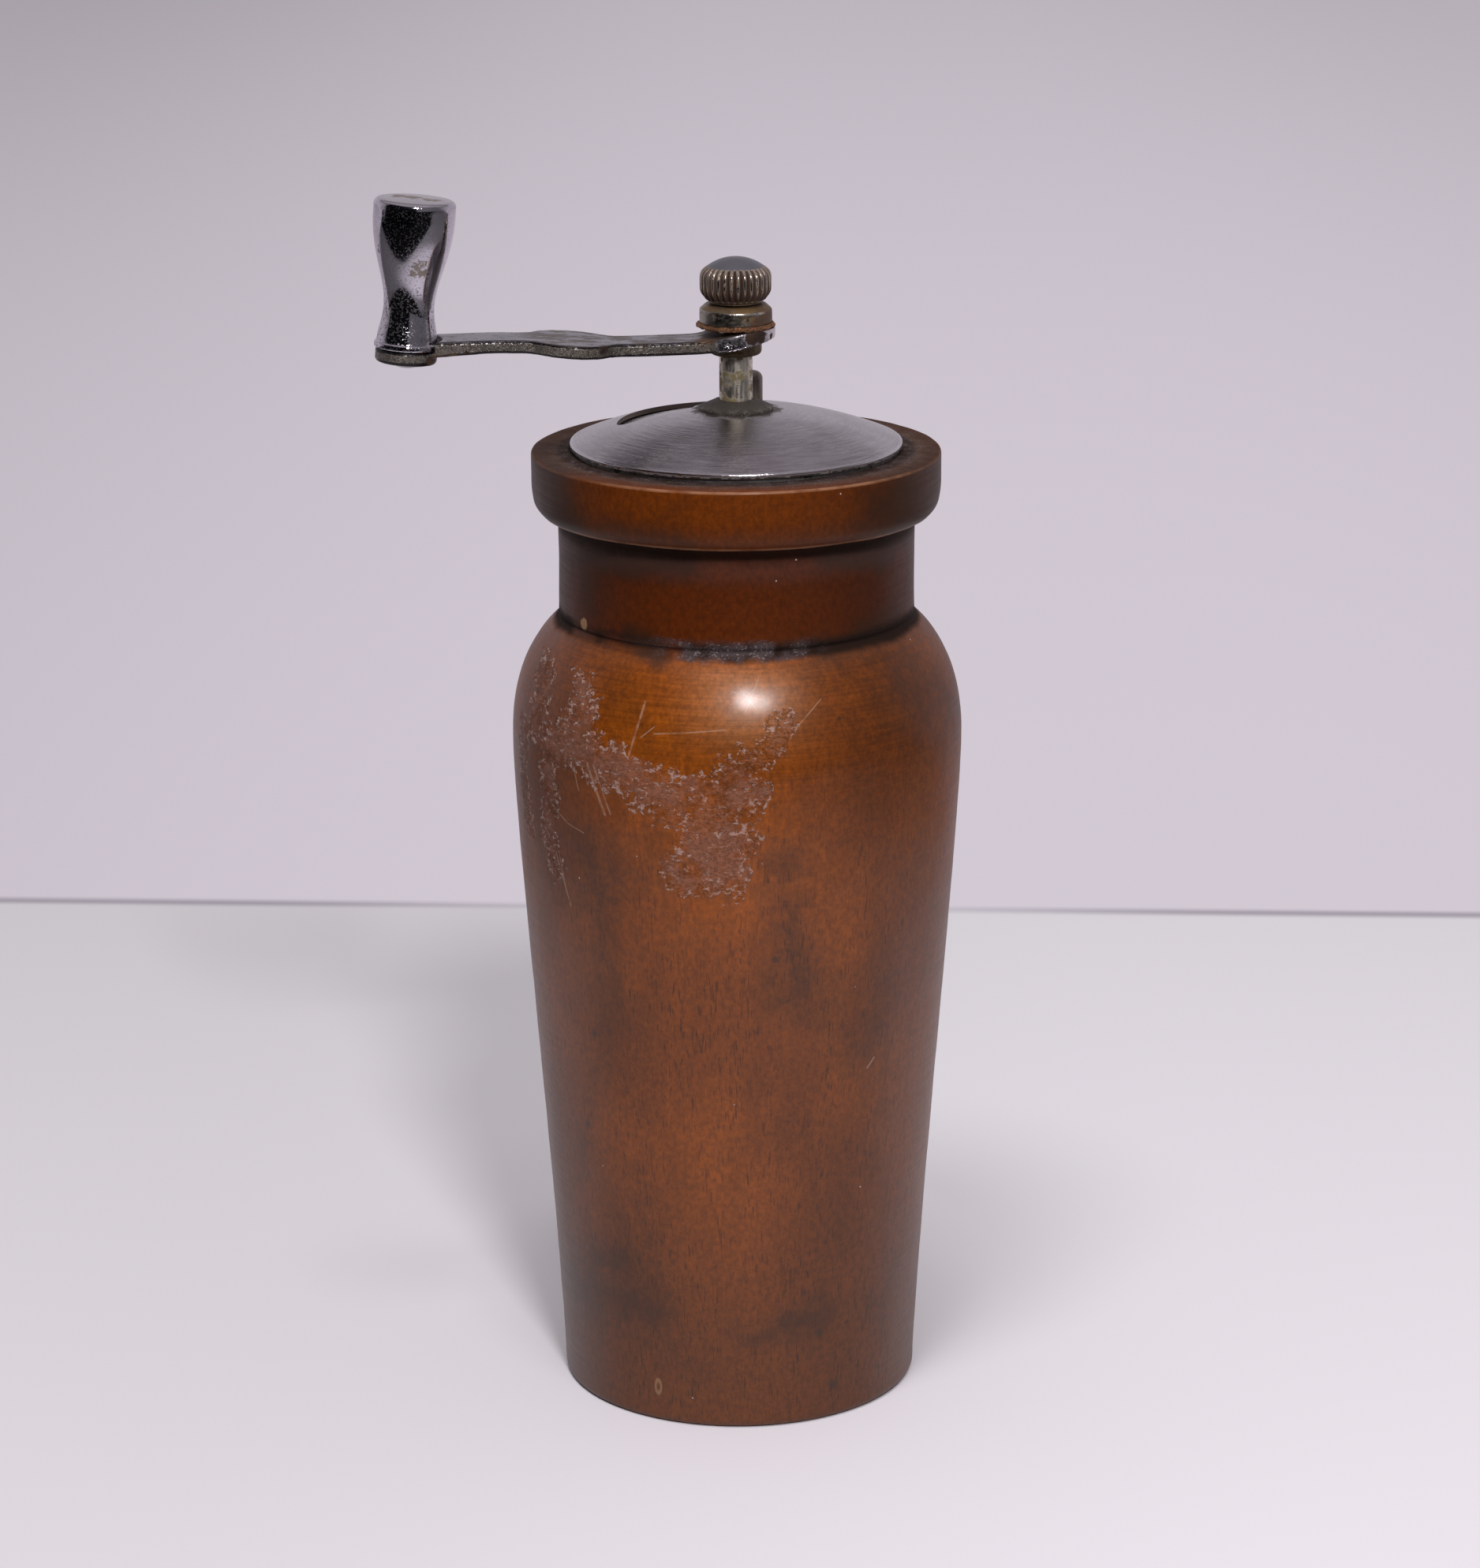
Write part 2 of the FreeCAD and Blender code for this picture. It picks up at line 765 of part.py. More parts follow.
def adjuster_knob():
    """The fluted knob: a barrel with grooves cut to an even depth, and a blind bore for the rod."""
    barrel = knob_barrel(0)
    core = knob_barrel(knob_flute_depth)
    half = 180.0 * knob_flute_share / knob_flutes
    blade = sector(rod_r, knob_r + past, -half, half, knob_low_z - past, knob_low_z + knob_height + past)
    grooves = around(blade, knob_flutes).common(barrel.cut(core))
    foot = disc(knob_foot_r - knob_flute_depth, knob_low_z, knob_low_z + knob_foot)
    bore = disc(rod_r + running_fit, knob_low_z - past, knob_low_z + knob_bore_depth)
    return barrel.cut(grooves).fuse(foot).cut(bore)


def handle_knob():
    """The waisted handle, with a blind bore in which the pin is pressed."""
    low = boss_top_z + handle_play
    top = low + handle_height
    edge_z = top - handle_top_round
    rim_in = handle_head_r - handle_top_round
    diagonal = handle_top_round * (1 - math.sqrt(0.5))
    side = curve(
        [
            (handle_foot_r, low + handle_foot_z),
            (handle_waist_r, low + handle_waist_z),
            (handle_mid_r, low + handle_mid_z),
            (handle_upper_r, low + handle_upper_z),
            (handle_head_r, low + handle_head_z),
        ],
        start=(-0.25, 1.0),
        end=(0.0, 1.0),
    )
    foot = curve(
        [(handle_lip_r, low + handle_lip), (handle_foot_r, low + handle_foot_z)],
        start=(-0.1, 1.0),
        end=(-0.25, 1.0),
    )
    body = turned(
        [
            line((0, low), (handle_lip_r, low)),
            line((handle_lip_r, low), (handle_lip_r, low + handle_lip)),
            foot,
            side,
            line((handle_head_r, low + handle_head_z), (handle_head_r, edge_z)),
            arc((handle_head_r, edge_z), (handle_head_r - diagonal, top - diagonal), (rim_in, top)),
            cap_arc(rim_in, top, top + handle_crown),
            line((0, top + handle_crown), (0, low)),
        ]
    )
    body = body.cut(disc(pin_r + press_fit, low - past, low + pin_grip))
    body.translate(Vector(-crank_length, 0, 0))
    return lean(body)


def handle_pin():
    """The rivet: pressed in the handle, free in the boss, with a round head under it."""
    head_top = boss_top_z - boss_height - handle_play
    top = boss_top_z + handle_play + pin_grip
    shank = disc(pin_r, head_top, top)
    dome = turned(
        [
            line((0, head_top), (pin_head_r, head_top)),
            cap_arc(pin_head_r, head_top, head_top - pin_head),
            line((0, head_top - pin_head), (0, head_top)),
        ]
    )
    body = shank.fuse(dome)
    body.translate(Vector(-crank_length, 0, 0))
    return lean(body)


def centre_rod():
    """The rod that carries the cone, with the cross hole for the drive pin."""
    hole = crosswise(drive_pin_r + press_fit, 4 * rod_r, drive_pin_z)
    return disc(rod_r, rod_low_z, rod_top_z).cut(hole)


def drive_pin():
    """The cross pin, as long as the sleeve is wide."""
    return crosswise(drive_pin_r, 2 * sleeve_r, drive_pin_z)


def tooth_groove(foot, top, depth, width):
    """A V groove that runs up a cone from one (r, z) point to another, cut into its outside."""
    rise = Vector(top[0] - foot[0], 0, top[1] - foot[1])
    outward = Vector(rise.z, 0, -rise.x).normalize()
    start = Vector(foot[0], 0, foot[1]) - rise * 0.15 + outward * depth
    corners = [
        start + Vector(0, width, 0),
        start - Vector(0, width, 0),
        start - outward * 2 * depth,
    ]
    wire = Part.makePolygon(corners + corners[:1])
    return Part.Face(wire).extrude(rise * 1.3)


def tilt_about_radius(shape, place, degrees):
    """Turns a groove about the radius through its middle, which makes it run askew."""
    shape.rotate(Vector(place[0], 0, place[1]), Vector(1, 0, 0), degrees)
    return shape


def burr_cone():
    """The turning cone: coarse grooves above draw the salt in, fine teeth below grind it."""
    edge_z = cone_low_z + cone_foot_edge
    bore = rod_r + press_fit
    body = turned_points(
        [
            (bore, cone_low_z),
            (cone_foot_r, cone_low_z),
            (cone_foot_r, edge_z),
            (cone_waist_r, cone_waist_z),
            (cone_top_r, cone_top_z),
            (bore, cone_top_z),
        ]
    )
    pitch = 2 * math.pi * cone_waist_r / fine_teeth
    foot = (cone_foot_r, edge_z)
    waist = (cone_waist_r, cone_waist_z)
    top = (cone_top_r, cone_top_z)
    fine = tooth_groove(foot, waist, fine_tooth_depth, pitch * fine_tooth_share)
    coarse = tooth_groove(waist, top, coarse_tooth_depth, coarse_tooth_width)
    place = ((cone_waist_r + cone_top_r) / 2, (cone_waist_z + cone_top_z) / 2)
    coarse = tilt_about_radius(coarse, place, coarse_tooth_tilt)
    keep = disc(cone_foot_r + past, cone_waist_z - cone_coarse_from, cone_top_z - cone_coarse_land)
    return body.cut(around(fine, fine_teeth)).cut(around(coarse, coarse_teeth).common(keep))


def burr_ring():
    """The fixed ring: its bore follows the cone with the grinding gap between them."""
    edge_z = cone_low_z + cone_foot_edge
    slope = (cone_foot_r - cone_waist_r) / cone_fine_height
    foot_r_in = cone_foot_r + grind_gap + slope * (edge_z - recess_depth)
    throat_r = cone_waist_r + grind_gap
    body = turned_points(
        [
            (foot_r_in, recess_depth),
            (burr_ring_r, recess_depth),
            (burr_ring_r, burr_ring_top_z),
            (burr_ring_mouth_r, burr_ring_top_z),
            (throat_r, cone_waist_z),
        ]
    )
    pitch = 2 * math.pi * throat_r / fine_teeth
    low = (foot_r_in, recess_depth)
    throat = (throat_r, cone_waist_z)
    fine = tooth_groove(low, throat, fine_tooth_depth, pitch * fine_tooth_share)
    fine_keep = disc(burr_ring_r, recess_depth - past, cone_waist_z - ring_fine_land)
    mouth = (burr_ring_mouth_r, burr_ring_top_z)
    coarse = tooth_groove(throat, mouth, coarse_tooth_depth, coarse_tooth_width)
    place = ((throat_r + burr_ring_mouth_r) / 2, (cone_waist_z + burr_ring_top_z) / 2)
    coarse = tilt_about_radius(coarse, place, -coarse_tooth_tilt)
    coarse_keep = disc(burr_ring_mouth_r, cone_waist_z + ring_coarse_from, burr_ring_top_z + past)
    cut = body.cut(around(fine, fine_teeth).common(fine_keep))
    return cut.cut(around(coarse, coarse_teeth).common(coarse_keep))


def base_plate():
    """The plate that holds the grinder in, with countersunk holes for its screws."""
    body = tube(plate_hole_r, plate_r, plate_low_z, recess_depth)
    hole = Part.makeCone(
        screw_head_r + press_fit,
        screw_r + press_fit,
        screw_head,
        Vector(screw_circle_r, 0, plate_low_z),
    )
    hole = hole.fuse(disc(screw_r + press_fit, plate_low_z, recess_depth + past, screw_circle_r))
    return body.cut(around(hole, plate_screws, 90))


def base_screws():
    """Countersunk wood screws with a plain slot."""
    tip_z = plate_low_z + screw_length
    screw = turned_points(
        [
            (0, plate_low_z),
            (screw_head_r, plate_low_z),
            (screw_r, plate_low_z + screw_head),
            (screw_r, tip_z - screw_point),
            (0, tip_z),
        ]
    )
    slot = Part.makeBox(4 * screw_head_r, screw_slot, past + screw_slot_depth)
    slot.translate(Vector(-2 * screw_head_r, -screw_slot / 2, plate_low_z - past))
    screw = screw.cut(slot)
    screw.translate(Vector(screw_circle_r, 0, 0))
    return around(screw, plate_screws, 90)


def grinder_bridge():
    """A ring on the burr ring, with arms to a cup that houses the spring and carries the bush."""
    rim = tube(burr_ring_r - bridge_ring_wall, burr_ring_r, burr_ring_top_z, bridge_top_z)
    arm = Part.makeBox(
        burr_ring_r - bridge_ring_wall / 2,
        bridge_arm_width,
        bridge_thick,
        Vector(0, -bridge_arm_width / 2, burr_ring_top_z),
    )
    bush_r = sleeve_r + running_fit + bush_wall
    cup = disc(cup_r, burr_ring_top_z, cup_roof_top_z)
    boss = disc(bush_r + bush_boss_wall, cup_roof_low_z, bush_top_z)
    body = rim.fuse([around(arm, bridge_arms, 90), cup, boss])
    room = disc(cup_r - cup_wall, burr_ring_top_z - past, cup_roof_low_z)
    bore = disc(bush_r + press_fit, burr_ring_top_z - past, bush_top_z + past)
    return body.cut([room, bore]).removeSplitter()


def bridge_bush():
    """The spindle's lower bearing, in the bridge's boss."""
    inner = sleeve_r + running_fit
    return tube(inner, inner + bush_wall, cup_roof_low_z, bush_top_z)


def sleeve_clip():
    """An open retaining ring in the sleeve's groove, resting on the bush."""
    low = bush_top_z + seat_play
    body = tube(sleeve_r - clip_groove + press_fit, clip_r, low, low + clip_thick)
    mouth = Part.makeBox(2 * clip_r, clip_mouth, clip_thick)
    mouth.translate(Vector(0, -clip_mouth / 2, low))
    return body.cut(mouth)


def spring_washer():
    """The washer between the spring and the cup's roof."""
    inner = sleeve_r + running_fit
    return tube(inner, spring_washer_r, spring_top_z, spring_top_z + spring_washer_thick)


def grinder_spring():
    """The coil spring between the washer and the cone, as one unbroken wire with flat ground ends."""
    low = cone_top_z + spring_wire_r * spring_ground
    high = spring_top_z - spring_wire_r * spring_ground
    pitch = (high - low) / spring_turns
    helix = Part.makeLongHelix(pitch, high - low, spring_r)
    helix.translate(Vector(0, 0, low))
    path = Part.Wire(helix.Edges)
    section = Part.Wire(Part.makeCircle(spring_wire_r, Vector(spring_r, 0, low), Vector(0, 1, 0)))
    wire = path.makePipeShell([section], True, True)
    ground = disc(spring_r + past, cone_top_z, spring_top_z)
    return wire.common(ground)


def burr_washer():
    return tube(rod_r + press_fit, burr_washer_r, cone_low_z - burr_washer_thick, cone_low_z)


def burr_nut():
    """A hexagonal nut under the cone."""
    corner_r = burr_nut_flats / math.sqrt(3)
    top_z = cone_low_z - burr_washer_thick
    corners = [at_angle(corner_r, 60 * index) for index in range(7)]
    face = Part.Face(Part.makePolygon(corners))
    face.translate(Vector(0, 0, top_z - burr_nut_thick))
    body = face.extrude(Vector(0, 0, burr_nut_thick))
    return body.cut(disc(rod_r + press_fit, top_z - burr_nut_thick - past, top_z + past))


os.makedirs("parts", exist_ok=True)
save(wood_body(), "wood_body")
save(lid_ring(), "lid_ring")
save(lid_cover(), "lid_cover")
save(lid_bushing(), "lid_bushing")
save(shutter_washer(), "shutter_washer")
save(bushing_nut(), "bushing_nut")
save(grinder_bridge(), "grinder_bridge")
save(bridge_bush(), "bridge_bush")
save(burr_ring(), "burr_ring")
save(base_plate(), "base_plate")
save(base_screws(), "base_screws")
save(shutter_plate(), "shutter_plate")
save(shutter_peg(), "shutter_peg")
save(drive_sleeve(), "drive_sleeve")
save(hub_collar(), "hub_collar")
save(crank_arm(), "crank_arm")
save(arm_washer(), "arm_washer")
save(ring_nut(), "ring_nut")
save(sleeve_clip(), "sleeve_clip")
save(spring_washer(), "spring_washer")
save(grinder_spring(), "grinder_spring")
save(handle_knob(), "handle_knob")
save(handle_pin(), "handle_pin")
save(adjuster_knob(), "adjuster_knob")
save(centre_rod(), "centre_rod")
save(drive_pin(), "drive_pin")
save(burr_cone(), "burr_cone")
save(burr_washer(), "burr_washer")
save(burr_nut(), "burr_nut")
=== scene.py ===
import math

import bmesh
import bpy
import numpy as np
from mathutils import Matrix, Vector


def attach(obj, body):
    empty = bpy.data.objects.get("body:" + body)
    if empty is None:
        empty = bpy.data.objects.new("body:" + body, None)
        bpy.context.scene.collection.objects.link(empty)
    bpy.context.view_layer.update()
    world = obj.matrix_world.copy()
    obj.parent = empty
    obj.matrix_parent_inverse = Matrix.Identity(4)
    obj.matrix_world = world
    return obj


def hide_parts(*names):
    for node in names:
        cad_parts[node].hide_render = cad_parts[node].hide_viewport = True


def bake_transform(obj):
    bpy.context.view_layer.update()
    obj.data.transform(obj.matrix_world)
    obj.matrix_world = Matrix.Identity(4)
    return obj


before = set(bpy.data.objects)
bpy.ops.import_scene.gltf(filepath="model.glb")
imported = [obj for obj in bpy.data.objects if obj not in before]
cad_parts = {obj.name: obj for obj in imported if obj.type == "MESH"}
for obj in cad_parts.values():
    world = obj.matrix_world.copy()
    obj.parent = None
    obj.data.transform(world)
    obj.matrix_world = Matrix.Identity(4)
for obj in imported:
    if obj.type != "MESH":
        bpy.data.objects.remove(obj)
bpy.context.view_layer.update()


# The wooden body: one piece of close-grained wood, turned on a lathe and hollow from end to end. It was
# oiled and has gone dark with handling. Grime fills the groove at the foot of the neck, grime and painted
# shade darken the corner under the collar, and the finish has flaked off the left of the shoulder. Its
# colour also holds painted light: shade towards the sides, a glow round the shoulder's highlight, a
# highlight on the collar's top edge, a sheen line under the collar and glints on the flaked finish.
mm = 0.001
wood_steps = 400
foot_r, foot_round = 27.6, 1.35
belly_r, belly_z = 34.41, 105.0
shoulder_r, shoulder_z = 31.08, 118.0
neck_r, groove_z, groove_width, groove_depth = 27.1, 122.6, 0.9, 0.35
collar_r, collar_low_z, body_height = 31.0, 138.8, 147.9
chamber_r, funnel_top_z, funnel_low_r = 22.0, 31.4, 12.4
grinder_r, grinder_top_z = 14.1, 20.6
recess_r, recess_z = 22.1, 4.6
front = math.radians(-100)
orange_wood = (0.205, 0.047, 0.001, 1)
brown_wood = (0.132, 0.030, 0.001, 1)
grey_wood = (0.118, 0.030, 0.004, 1)
tan_wood_and_glow = (0.285, 0.105, 0.032, 1)
collar_wood = (0.104, 0.021, 0.0005, 1)
collar_grime_and_shade = (0.050, 0.013, 0.002, 1)
smudge_and_shade_brown = (0.028, 0.010, 0.004, 1)
neck_wood = (0.070, 0.0125, 0.0005, 1)
grime_and_shade = (0.012, 0.007, 0.006, 1)
top_dirt = (0.070, 0.040, 0.028, 1)
dust_and_sheen = (0.30, 0.25, 0.27, 1)
flaked_film = (0.245, 0.122, 0.092, 1)
flecks_and_glints = (0.62, 0.53, 0.50, 1)
rubbed_wood_and_highlight = (0.36, 0.18, 0.10, 1)
scratched_wood = (0.40, 0.24, 0.16, 1)
bruise_brown = (0.025, 0.012, 0.008, 1)
split_wood = (0.34, 0.20, 0.10, 1)
mote_grey = (0.55, 0.50, 0.50, 1)


class Value:
    """What a node gives out: a number, place or colour that varies over a piece, for plain sums."""

    def __init__(self, socket):
        self.socket = socket
        self.tree = socket.id_data

    def __add__(self, other):
        return sums("ADD", self, other)

    def __sub__(self, other):
        return sums("SUBTRACT", self, other)

    def __rsub__(self, other):
        return sums("SUBTRACT", other, self)

    def __mul__(self, other):
        return sums("MULTIPLY", self, other)

    def __abs__(self):
        return sums("ABSOLUTE", self)

    __radd__, __rmul__ = __add__, __mul__


def node(kind, *values, tree=None, out=0, **settings):
    """Adds a node, feeds its inputs in their order, and gives one of its outputs."""
    if tree is None:
        tree = next(value.tree for value in values if isinstance(value, Value))
    made = tree.nodes.new(kind)
    for key, value in settings.items():
        setattr(made, key, value)
    for socket, value in zip(made.inputs, values):
        if isinstance(value, Value):
            tree.links.new(value.socket, socket)
        elif value is not None:
            socket.default_value = value
    return Value(made.outputs[out])


def sums(operation, *values):
    return node("ShaderNodeMath", *values, operation=operation)


def most(one, other):
    return sums("MAXIMUM", one, other)


def parts(place):
    """The x, y and z of a place."""
    return [Value(socket) for socket in node("ShaderNodeSeparateXYZ", place).socket.node.outputs]


def scaled(given, share):
    """A colour or a place multiplied by a value."""
    return node("ShaderNodeVectorMath", given, None, None, share, operation="SCALE")


def lathe_tree():
    """A lathe: turns an outline, r along X and z up, about Z, then cuts flutes and makes it uneven."""
    tree = bpy.data.node_groups.new("Lathe", "GeometryNodeTree")
    for name, kind in (
        ("Outline", "Geometry"), ("Steps", "Int"), ("Flutes", "Int"), ("Flute depth", "Float"),
        ("Unevenness", "Float"), ("Unevenness size", "Float"), ("Finish", "Material"),
    ):
        tree.interface.new_socket(name=name, in_out="INPUT", socket_type="NodeSocket" + kind)
    tree.interface.new_socket(name="Piece", in_out="OUTPUT", socket_type="NodeSocketGeometry")
    given = {socket.name: Value(socket) for socket in tree.nodes.new("NodeGroupInput").outputs}
    outline, steps = given["Outline"], given["Steps"]
    columns = steps + 1
    length = node("GeometryNodeAttributeDomainSize", outline, component="CURVE")
    grid = node("GeometryNodeMeshGrid", 1, 1, length, columns)
    order = node("GeometryNodeInputIndex", tree=tree)
    along = sums("FLOOR", sums("DIVIDE", order + 0.5, columns))
    step = order - along * columns
    angle = sums("DIVIDE", step * (2 * math.pi), steps)
    spot = node("GeometryNodeSampleIndex", outline, node("GeometryNodeInputPosition", tree=tree), along,
                data_type="FLOAT_VECTOR")
    free = node("GeometryNodeSampleIndex", outline, node("GeometryNodeInputRadius", tree=tree), along,
                data_type="FLOAT")
    r, _, z = parts(spot)
    r -= abs(sums("SINE", angle * (given["Flutes"] * 0.5))) * given["Flute depth"] * free
    place = node("ShaderNodeCombineXYZ", r * sums("COSINE", angle), r * sums("SINE", angle), z)
    shell = node("GeometryNodeSetPosition", grid, None, place)
    shell = node("GeometryNodeStoreNamedAttribute", shell, None, "free", free, data_type="FLOAT")
    shell = node("GeometryNodeMergeByDistance", shell, None, 1e-6)
    waves = node("ShaderNodeTexNoise", node("GeometryNodeInputPosition", tree=tree), None,
                 sums("DIVIDE", 1, given["Unevenness size"]), 3)
    kept = node("GeometryNodeInputNamedAttribute", "free", tree=tree, data_type="FLOAT")
    lift = (waves - 0.5) * kept * (given["Unevenness"] * 4)
    offset = scaled(node("GeometryNodeInputNormal", tree=tree), lift)
    shell = node("GeometryNodeSetPosition", shell, None, None, offset)
    shell = node("GeometryNodeRealizeInstances", shell)
    shell = node("GeometryNodeSetMaterial", shell, None, given["Finish"])
    tree.links.new(shell.socket, tree.nodes.new("NodeGroupOutput").inputs[0])
    return tree


lathe = lathe_tree()


def stand(name, data):
    """Puts a mesh, a curve, a lamp or a camera in the scene."""
    made = bpy.data.objects.new(name, data)
    bpy.context.scene.collection.objects.link(made)
    return made


def plain_mesh(rough, name):
    """The evaluated object as a plain mesh of its own, facing outwards, with its maker removed."""
    mesh = bpy.data.meshes.new_from_object(rough.evaluated_get(bpy.context.evaluated_depsgraph_get()))
    bpy.data.objects.remove(rough)
    shell = bmesh.new()
    shell.from_mesh(mesh)
    if shell.calc_volume(signed=True) < 0:
        bmesh.ops.reverse_faces(shell, faces=shell.faces)
    shell.to_mesh(mesh)
    shell.free()
    mesh.shade_smooth()
    mesh.set_sharp_from_angle(angle=math.radians(50))
    return stand(name, mesh)


def turned(name, outline, finish, steps=96, flutes=0, flute_depth=0.0, unevenness=0.0, uneven_size=5.0):
    """A piece turned from points (r, z, free) in millimetres; free is where flutes and unevenness show."""
    curve = bpy.data.curves.new(name, "CURVE")
    curve.dimensions = "3D"
    spline = curve.splines.new("POLY")
    spline.points.add(len(outline) - 1)
    for point, (r, z, free) in zip(spline.points, outline):
        point.co = (r * mm, 0, z * mm, 1)
        point.radius = free
    rough = stand(name + "_outline", curve)
    modifier = rough.modifiers.new("Lathe", "NODES")
    modifier.node_group = lathe
    chosen = {
        "Steps": steps, "Flutes": flutes, "Flute depth": flute_depth * mm, "Unevenness": unevenness * mm,
        "Unevenness size": uneven_size * mm, "Finish": finish,
    }
    for item in lathe.interface.items_tree:
        if item.name in chosen:
            modifier[item.identifier] = chosen[item.name]
    return plain_mesh(rough, name)


def outline(corners, step=1.0, free=1.0, closed=False):
    """Points along straight runs between corners (r, z, rounding), with each corner rounded off."""
    corners = [tuple(corner) + (0.0,) * (3 - len(corner)) for corner in corners]
    places = []
    for index, (r, z, rounding) in enumerate(corners):
        here = np.array((r, z))
        if rounding and (closed or 0 < index < len(corners) - 1):
            before = np.array(corners[index - 1][:2]) - here
            after = np.array(corners[(index + 1) % len(corners)][:2]) - here
            before *= rounding / np.hypot(*before)
            after *= rounding / np.hypot(*after)
            places += [here + before * (1 - s) ** 2 + after * s ** 2 for s in np.linspace(0, 1, 6)]
        else:
            places.append(here)
    if closed:
        places.append(places[0])
    points = [places[0]]
    for a, b in zip(places, places[1:]):
        count = max(1, math.ceil(np.hypot(*(b - a)) / step))
        points += [a + (b - a) * k / count for k in range(1, count + 1)]
    return [(r, z, free) for r, z in points]


def smooth(places, start, end, step=1.0, free=1.0):
    """Points of a smooth curve through (r, z) places, with its directions at both ends."""
    places = np.array(places, float)
    lengths = np.hypot(*np.diff(places, axis=0).T)
    last = len(places) - 1
    system, known = np.eye(last + 1), np.zeros((last + 1, 2))
    known[0], known[last] = start / np.hypot(*start), end / np.hypot(*end)
    for i in range(1, last):
        a, b = lengths[i - 1], lengths[i]
        system[i, i - 1:i + 2] = b, 2 * (a + b), a
        known[i] = 3 * (b / a * (places[i] - places[i - 1]) + a / b * (places[i + 1] - places[i]))
    slopes = np.linalg.solve(system, known)
    points = []
    for i, length in enumerate(lengths):
        for s in np.linspace(0, 1, math.ceil(length / step) + 1)[i > 0:]:
            points.append(
                (2 * s ** 3 - 3 * s ** 2 + 1) * places[i] + (3 * s ** 2 - 2 * s ** 3) * places[i + 1]
                + length * ((s ** 3 - 2 * s ** 2 + s) * slopes[i] + (s ** 3 - s ** 2) * slopes[i + 1]))
    return [(r, z, free) for r, z in points]


def new_finish(name):
    """A material, its shader, and places on the piece in millimetres."""
    finish = bpy.data.materials.new(name)
    finish.use_nodes = True
    at = node("ShaderNodeTexCoord", tree=finish.node_tree, out="Object")
    return finish, finish.node_tree.nodes["Principled BSDF"], scaled(at, 1 / mm)


def feed(shader, name, value):
    value.tree.links.new(value.socket, shader.inputs[name])


def noise(at, size, detail=3, stretch=(1, 1, 1), roughness=0.5):
    """Cloudy values from 0 to 1, size millimetres across, drawn out by stretch."""
    at = node("ShaderNodeVectorMath", at, [1 / (size * s) for s in stretch], operation="MULTIPLY")
    return node("ShaderNodeTexNoise", at, None, 1, detail, roughness)


def between(value, low, high, out_low=0, out_high=1):
    return node("ShaderNodeMapRange", value, low, high, out_low, out_high, interpolation_type="SMOOTHSTEP")


def blend(share, below, above):
    """Two colours mixed by a share from 0 to 1."""
    return node("ShaderNodeMix", share, *[None] * 5, below, above, out=2, data_type="RGBA")


def distance(one, other):
    return node("ShaderNodeVectorMath", one, other, out=1, operation="DISTANCE")


def radius(at):
    """How far a place is from the spindle's axis."""
    x, y, _ = parts(at)
    return sums("SQRT", x * x + y * y)


def painted(at, name):
    """A share that is stored on the piece's corners."""
    return node("ShaderNodeAttribute", tree=at.tree, out="Fac", attribute_name=name)


def scratch(on, start, end, width):
    """1 along a straight scratch between two places (u, z) on the unrolled front, fading to 0 beside it."""
    start, run = Vector((*start, 0)), Vector((*end, 0)) - Vector((*start, 0))
    off = node("ShaderNodeVectorMath", on, start, operation="SUBTRACT")
    along = node("ShaderNodeVectorMath", off, run / run.length_squared, out=1, operation="DOT_PRODUCT")
    return between(distance(off, scaled(run, node("ShaderNodeClamp", along))), width, width * 0.3)


